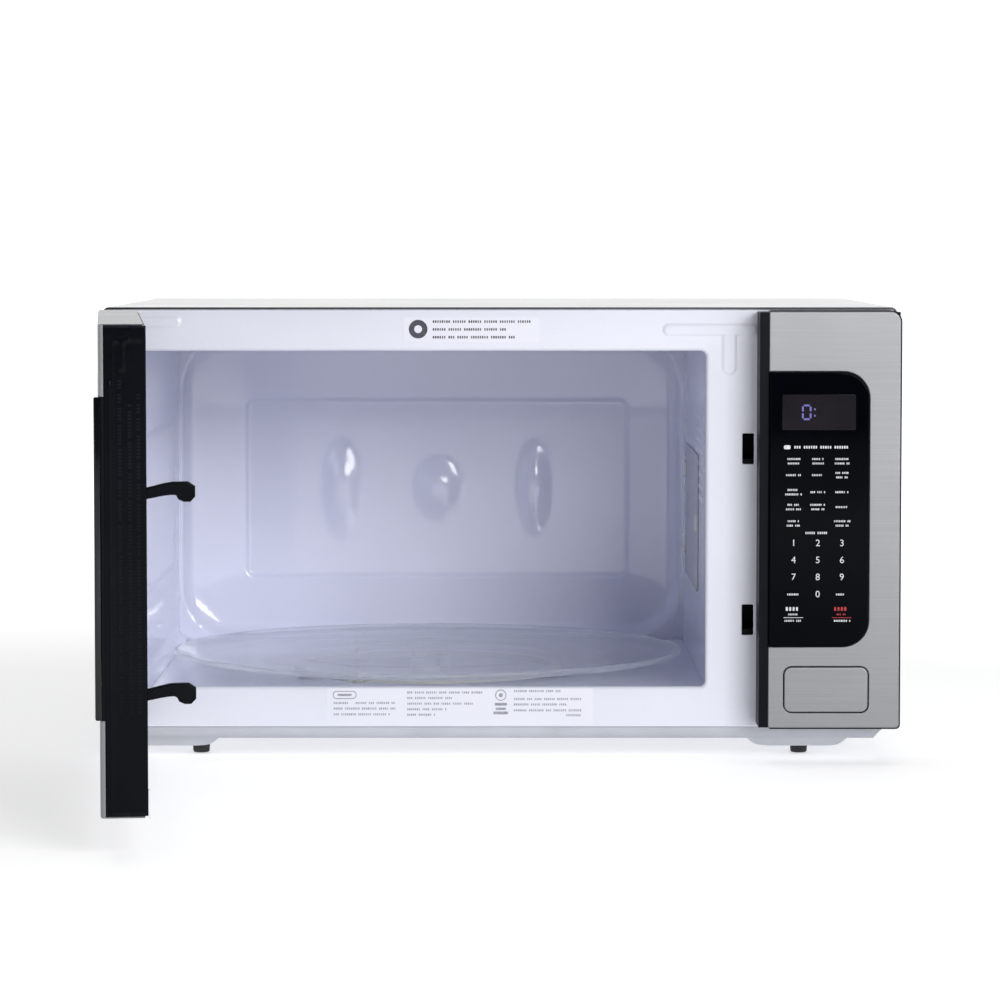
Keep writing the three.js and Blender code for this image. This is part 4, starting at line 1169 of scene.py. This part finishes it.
# The door, worked out shut.
door = {"sheet": 0.8, "fold": 1.8, "topReach": 29, "endReach": 3.4, "bandCorner": 20, "bevel": 1.4}
faceLow, faceHigh = shutBox("door_skin")
paneLow, paneHigh = shutBox("door_glass")
coverLow, coverHigh = shutBox("choke_cover")
notch = {"x": doorPin[0] + 10.2, "low": 6, "high": 6}
freeX = faceHigh[0]
trim = {"thickness": 1.0, "from": 3.5, "to": 31.0}
screen = {"left": -236, "right": 140, "low": 100, "high": 292, "pitch": 3.6}


def doorPiece(name, shapes, material, replaces=(), body="door", sharp=32):
    makePiece(name, shapes, material, replaces, body, swung, sharp)


# The outer face goes round the glass band; its folded edge runs deep at the top, foot and hinge side.
def addDoorFace():
    left, right, low, high = faceLow[0], faceHigh[0], faceLow[2], faceHigh[2]
    bandLeft, bandLow, bandHigh = paneLow[0] - 0.3, paneLow[2] - 0.3, paneHigh[2] + 0.3
    r = door["bandCorner"]
    arc = np.radians(np.linspace(0, 90, 12))
    upper = np.stack([bandLeft + r - r * np.sin(arc), bandHigh - r + r * np.cos(arc)], -1)
    lower = np.stack([bandLeft + r - r * np.cos(arc), bandLow + r - r * np.sin(arc)], -1)
    # The two free corners are doubled: the deep fold ends there and the shallow one begins.
    outline = np.concatenate([
        [[left, low], [right, low], [right, low], [right, bandLow]], lower[::-1], upper[::-1],
        [[right, bandHigh], [right, high], [right, high], [left, high]]])
    reach = np.full(len(outline), 1.1)
    reach[[0, 1, -1, -2]] = door["topReach"]
    reach[[2, 3, -4, -3]] = door["endReach"]
    face = edgedPlate([outline], [foldedEdge(0, door["sheet"], door["fold"], reach)])
    doorPiece("door_face", [face], "doorSteel", ["door_skin"])
    pane = slabPlate([faceLoop(paneLow, paneHigh, (r - 0.3, 0, 0, r - 0.3), 14)], paneLow[1], paneHigh[1],
                     door["bevel"], 0.2, 6)
    doorPiece("door_pane", [pane], "doorGlass", ["door_glass"])


# An outline with its two hinge-side corners cut away for the body's hinge plates.
def notchedLoop(left, right, low, high):
    x, up, down = notch["x"], faceHigh[2] - notch["high"], faceLow[2] + notch["low"]
    return np.array([[x, low], [right, low], [right, high], [x, high], [x, up], [left, up], [left, down],
                     [x, down]])


def addDoorBody():
    right = freeX - trim["thickness"]
    low, high = shutBox("door_frame")
    window = roundedLoop(screen["left"] - 4, screen["right"] + 4, screen["low"] - 4, screen["high"] + 4, 3, 5)
    frameLoop = notchedLoop(low[0], right, low[2], high[2])
    shell = slabPlate([frameLoop, window], low[1], high[1], 0.5)
    doorPiece("door_core", [shell], "plastic", ["door_frame"])

    chokeLow, chokeHigh = shutBox("choke_panel")
    chokeHole = faceLoop(chokeLow, chokeHigh, 3, 5, 0.3)
    barLow, barHigh = shutBox("latch_bar")
    hookSlots = [roundedLoop(barLow[0] - 0.7, right - 0.5, root - 4.2, root + 12.4, 0.8, 4)
                 for root in (103.6, 234.6)]
    ringLoop = notchedLoop(coverLow[0], right, faceLow[2] + 1.2, faceHigh[2] - 1.2)
    edges = [slabEdge(coverLow[1], trim["to"], *rounds)
             for rounds in ((0.2, 1.4), (0.2, 0.9), (0.1, 0.5), (0.1, 0.5))]
    ring = edgedPlate([ringLoop, chokeHole, *hookSlots], edges)
    doorPiece("door_choke_cover", [ring], "plastic", ["choke_cover"])

    # The inner panel: an enamelled pan, stepped down to a flat field that carries the screen.
    rimY, fieldY = 28.0, 22.3
    outer = faceLoop(chokeLow, chokeHigh, 3, 5)
    field = faceLoop(chokeLow, chokeHigh, 9, 8, -14)
    rim = edgedPlate([outer, field], [slabEdge(chokeLow[1], rimY, 0.2, 1.5),
                                      slabEdge(chokeLow[1], rimY, 0.2, 2.5)])
    screenLoop = roundedLoop(screen["left"], screen["right"], screen["low"], screen["high"], 0.01, 2)
    sheet = slabPlate([faceLoop(chokeLow, chokeHigh, 8, 8, -12), screenLoop], fieldY - 0.9, fieldY, 0.05)
    doorPiece("inner_panel", [rim, sheet], "enamel", ["choke_panel"])


# The screen: square cells, each a square outline round an eight-sided hole.
def addScreen():
    pitch = screen["pitch"]
    columns = int((screen["right"] - screen["left"]) / pitch)
    rows = int((screen["high"] - screen["low"]) / pitch)
    stepU = (screen["right"] - screen["left"]) / columns
    stepV = (screen["high"] - screen["low"]) / rows
    angle = np.radians(np.arange(8) * 45)
    holeRadius = pitch * 0.37
    square = np.array([[1, 0], [1, 1], [0, 1], [-1, 1], [-1, 0], [-1, -1], [0, -1], [1, -1]]) * [stepU / 2,
                                                                                                 stepV / 2]
    hole = np.stack([np.cos(angle), np.sin(angle)], -1) * holeRadius
    u, v = gridOf(screen["left"] + stepU * (np.arange(columns) + 0.5),
                  screen["low"] + stepV * (np.arange(rows) + 0.5))
    centres = np.stack([u, v], -1).reshape(-1, 1, 2)
    flat = np.concatenate([centres + square, centres + hole], 1)
    points = np.concatenate([flat, np.full((*flat.shape[:2], 1), 21.7)], -1)
    i = np.arange(8)
    cell = np.stack([i, (i + 1) % 8, (i + 1) % 8 + 8, i + 8], -1)
    faces = (np.arange(len(points))[:, None, None] * 16 + cell[None]).reshape(-1, 4)
    doorPiece("door_screen", [(upright(points), [faces])], "plastic")


# The free edge: a moulded strip with a long ridge, a short rib at the top and three columns of low bars.
def addEdgeTrim():
    low, high = faceLow[2] + 1.2, faceHigh[2] - 1.2
    depth = np.unique(np.concatenate([np.linspace(trim["from"], trim["to"], 30), np.arange(4.5, 10, 0.4),
                                      [trim["from"] + 0.3, trim["from"] + 0.8, trim["to"] - 0.8,
                                       trim["to"] - 0.3]]))
    levels = linesWith(low, high, 5, (312, 337, 320), 8, 1.2)
    d, z = gridOf(depth, levels)
    ridge = 0.55 * smoothStep(1 - np.abs(d - 7.3) / 1.4) * smoothStep((313 - z) / 4)
    rib = 0.45 * smoothStep((0.6 - np.abs(roundedDistance(d, z, (15.5, 339), (4.0, 1.6), 1.0))) / 0.8)
    stem = 0.45 * smoothStep((1.2 - roundedDistance(d, z, (15.5, 328), (0.8, 9), 0.6)) / 1.4)
    hollow = 0.45 * smoothStep((-roundedDistance(d, z, (19.6, 188), (10.2, 150), 3)) / 1.2)
    edge = np.minimum(np.minimum(d - trim["from"], trim["to"] - d), np.minimum(z - low, high - z))
    rounding = 0.8 * (1 - np.sqrt(1 - (1 - np.clip(edge / 0.8, 0, 1)) ** 2))
    x = freeX - 0.55 - rounding - hollow * 0.4 + np.maximum(np.maximum(ridge, rib), stem)
    front = np.stack([x, d, z], -1)
    back = np.stack([np.full_like(x, freeX - trim["thickness"] - 0.9), d, z], -1)
    doorPiece("door_edge_trim", [gridSolid(front, back)], "glossPlastic", sharp=60)

    bars = []
    for column, top in ((13.8, 313), (20.3, 298), (25.9, 305)):
        bars += [(column, u, height, width) for u, _, width, height in markRow(96, 0, top - 96, 2.6)]

    raised = barSolids(bars, 0, 0.16, lambda p: np.stack([freeX - 0.74 - p[..., 2], p[..., 0], p[..., 1]],
                                                         -1))
    doorPiece("door_edge_bars", [raised], "plastic")

    # A small enamelled drip lip tapers along the foot of the inner face.
    lip = slabPlate([np.array([[176, 27.2], [freeX - 0.4, 27.2], [freeX - 0.4, 46], [freeX - 1.2, 47],
                               [176, 29.5]])], 31.0, 32.6, 0.3, 0.5)
    doorPiece("door_drip_lip", [lip], "enamel")


# Hooks: an outline in y and z swept across the bar's width, its edges rounded by a small bevel.
def addHooks():
    low, high = shutBox("latch_bar")
    reach = high[1]
    shapes = []
    for rootLow, headLow in ((103.6, 101.8), (234.6, 233.4)):
        t = np.linspace(0, 1, 12)
        armLow = np.stack([24 + (reach - 12 - 26) * t, rootLow + 3.3 * smoothStep(t)], -1)
        headUnder = np.array([[reach - 12.4, headLow + 4.2], [reach - 11.0, headLow + 1.6],
                              [reach - 7.4, headLow],
                              [reach - 3.2, headLow], [reach, headLow + 3.4], [reach, rootLow + 9],
                              [reach - 4.6, rootLow + 12], [reach - 9, rootLow + 12]])
        armHigh = np.stack([reach - 12 - (reach - 12 - 24) * t, rootLow + 12 - 4.6 * smoothStep(t)], -1)
        outline = np.concatenate([armLow, headUnder, armHigh[1:]])
        shapes.append(slabPlate([outline], low[0], high[0], 0.9, 0.9, 4, place=sidePlace(0)))
    bar = slabPlate([faceLoop(low, high, 0.5, 3)], 21, 27, 0.4)
    doorPiece("latch_hooks", [*shapes, bar], "glossPlastic", ["latch_bar"], "latch_bar",
              sharp=40)


addDoorFace()
addDoorBody()
addScreen()
addEdgeTrim()
addHooks()
print("door made")
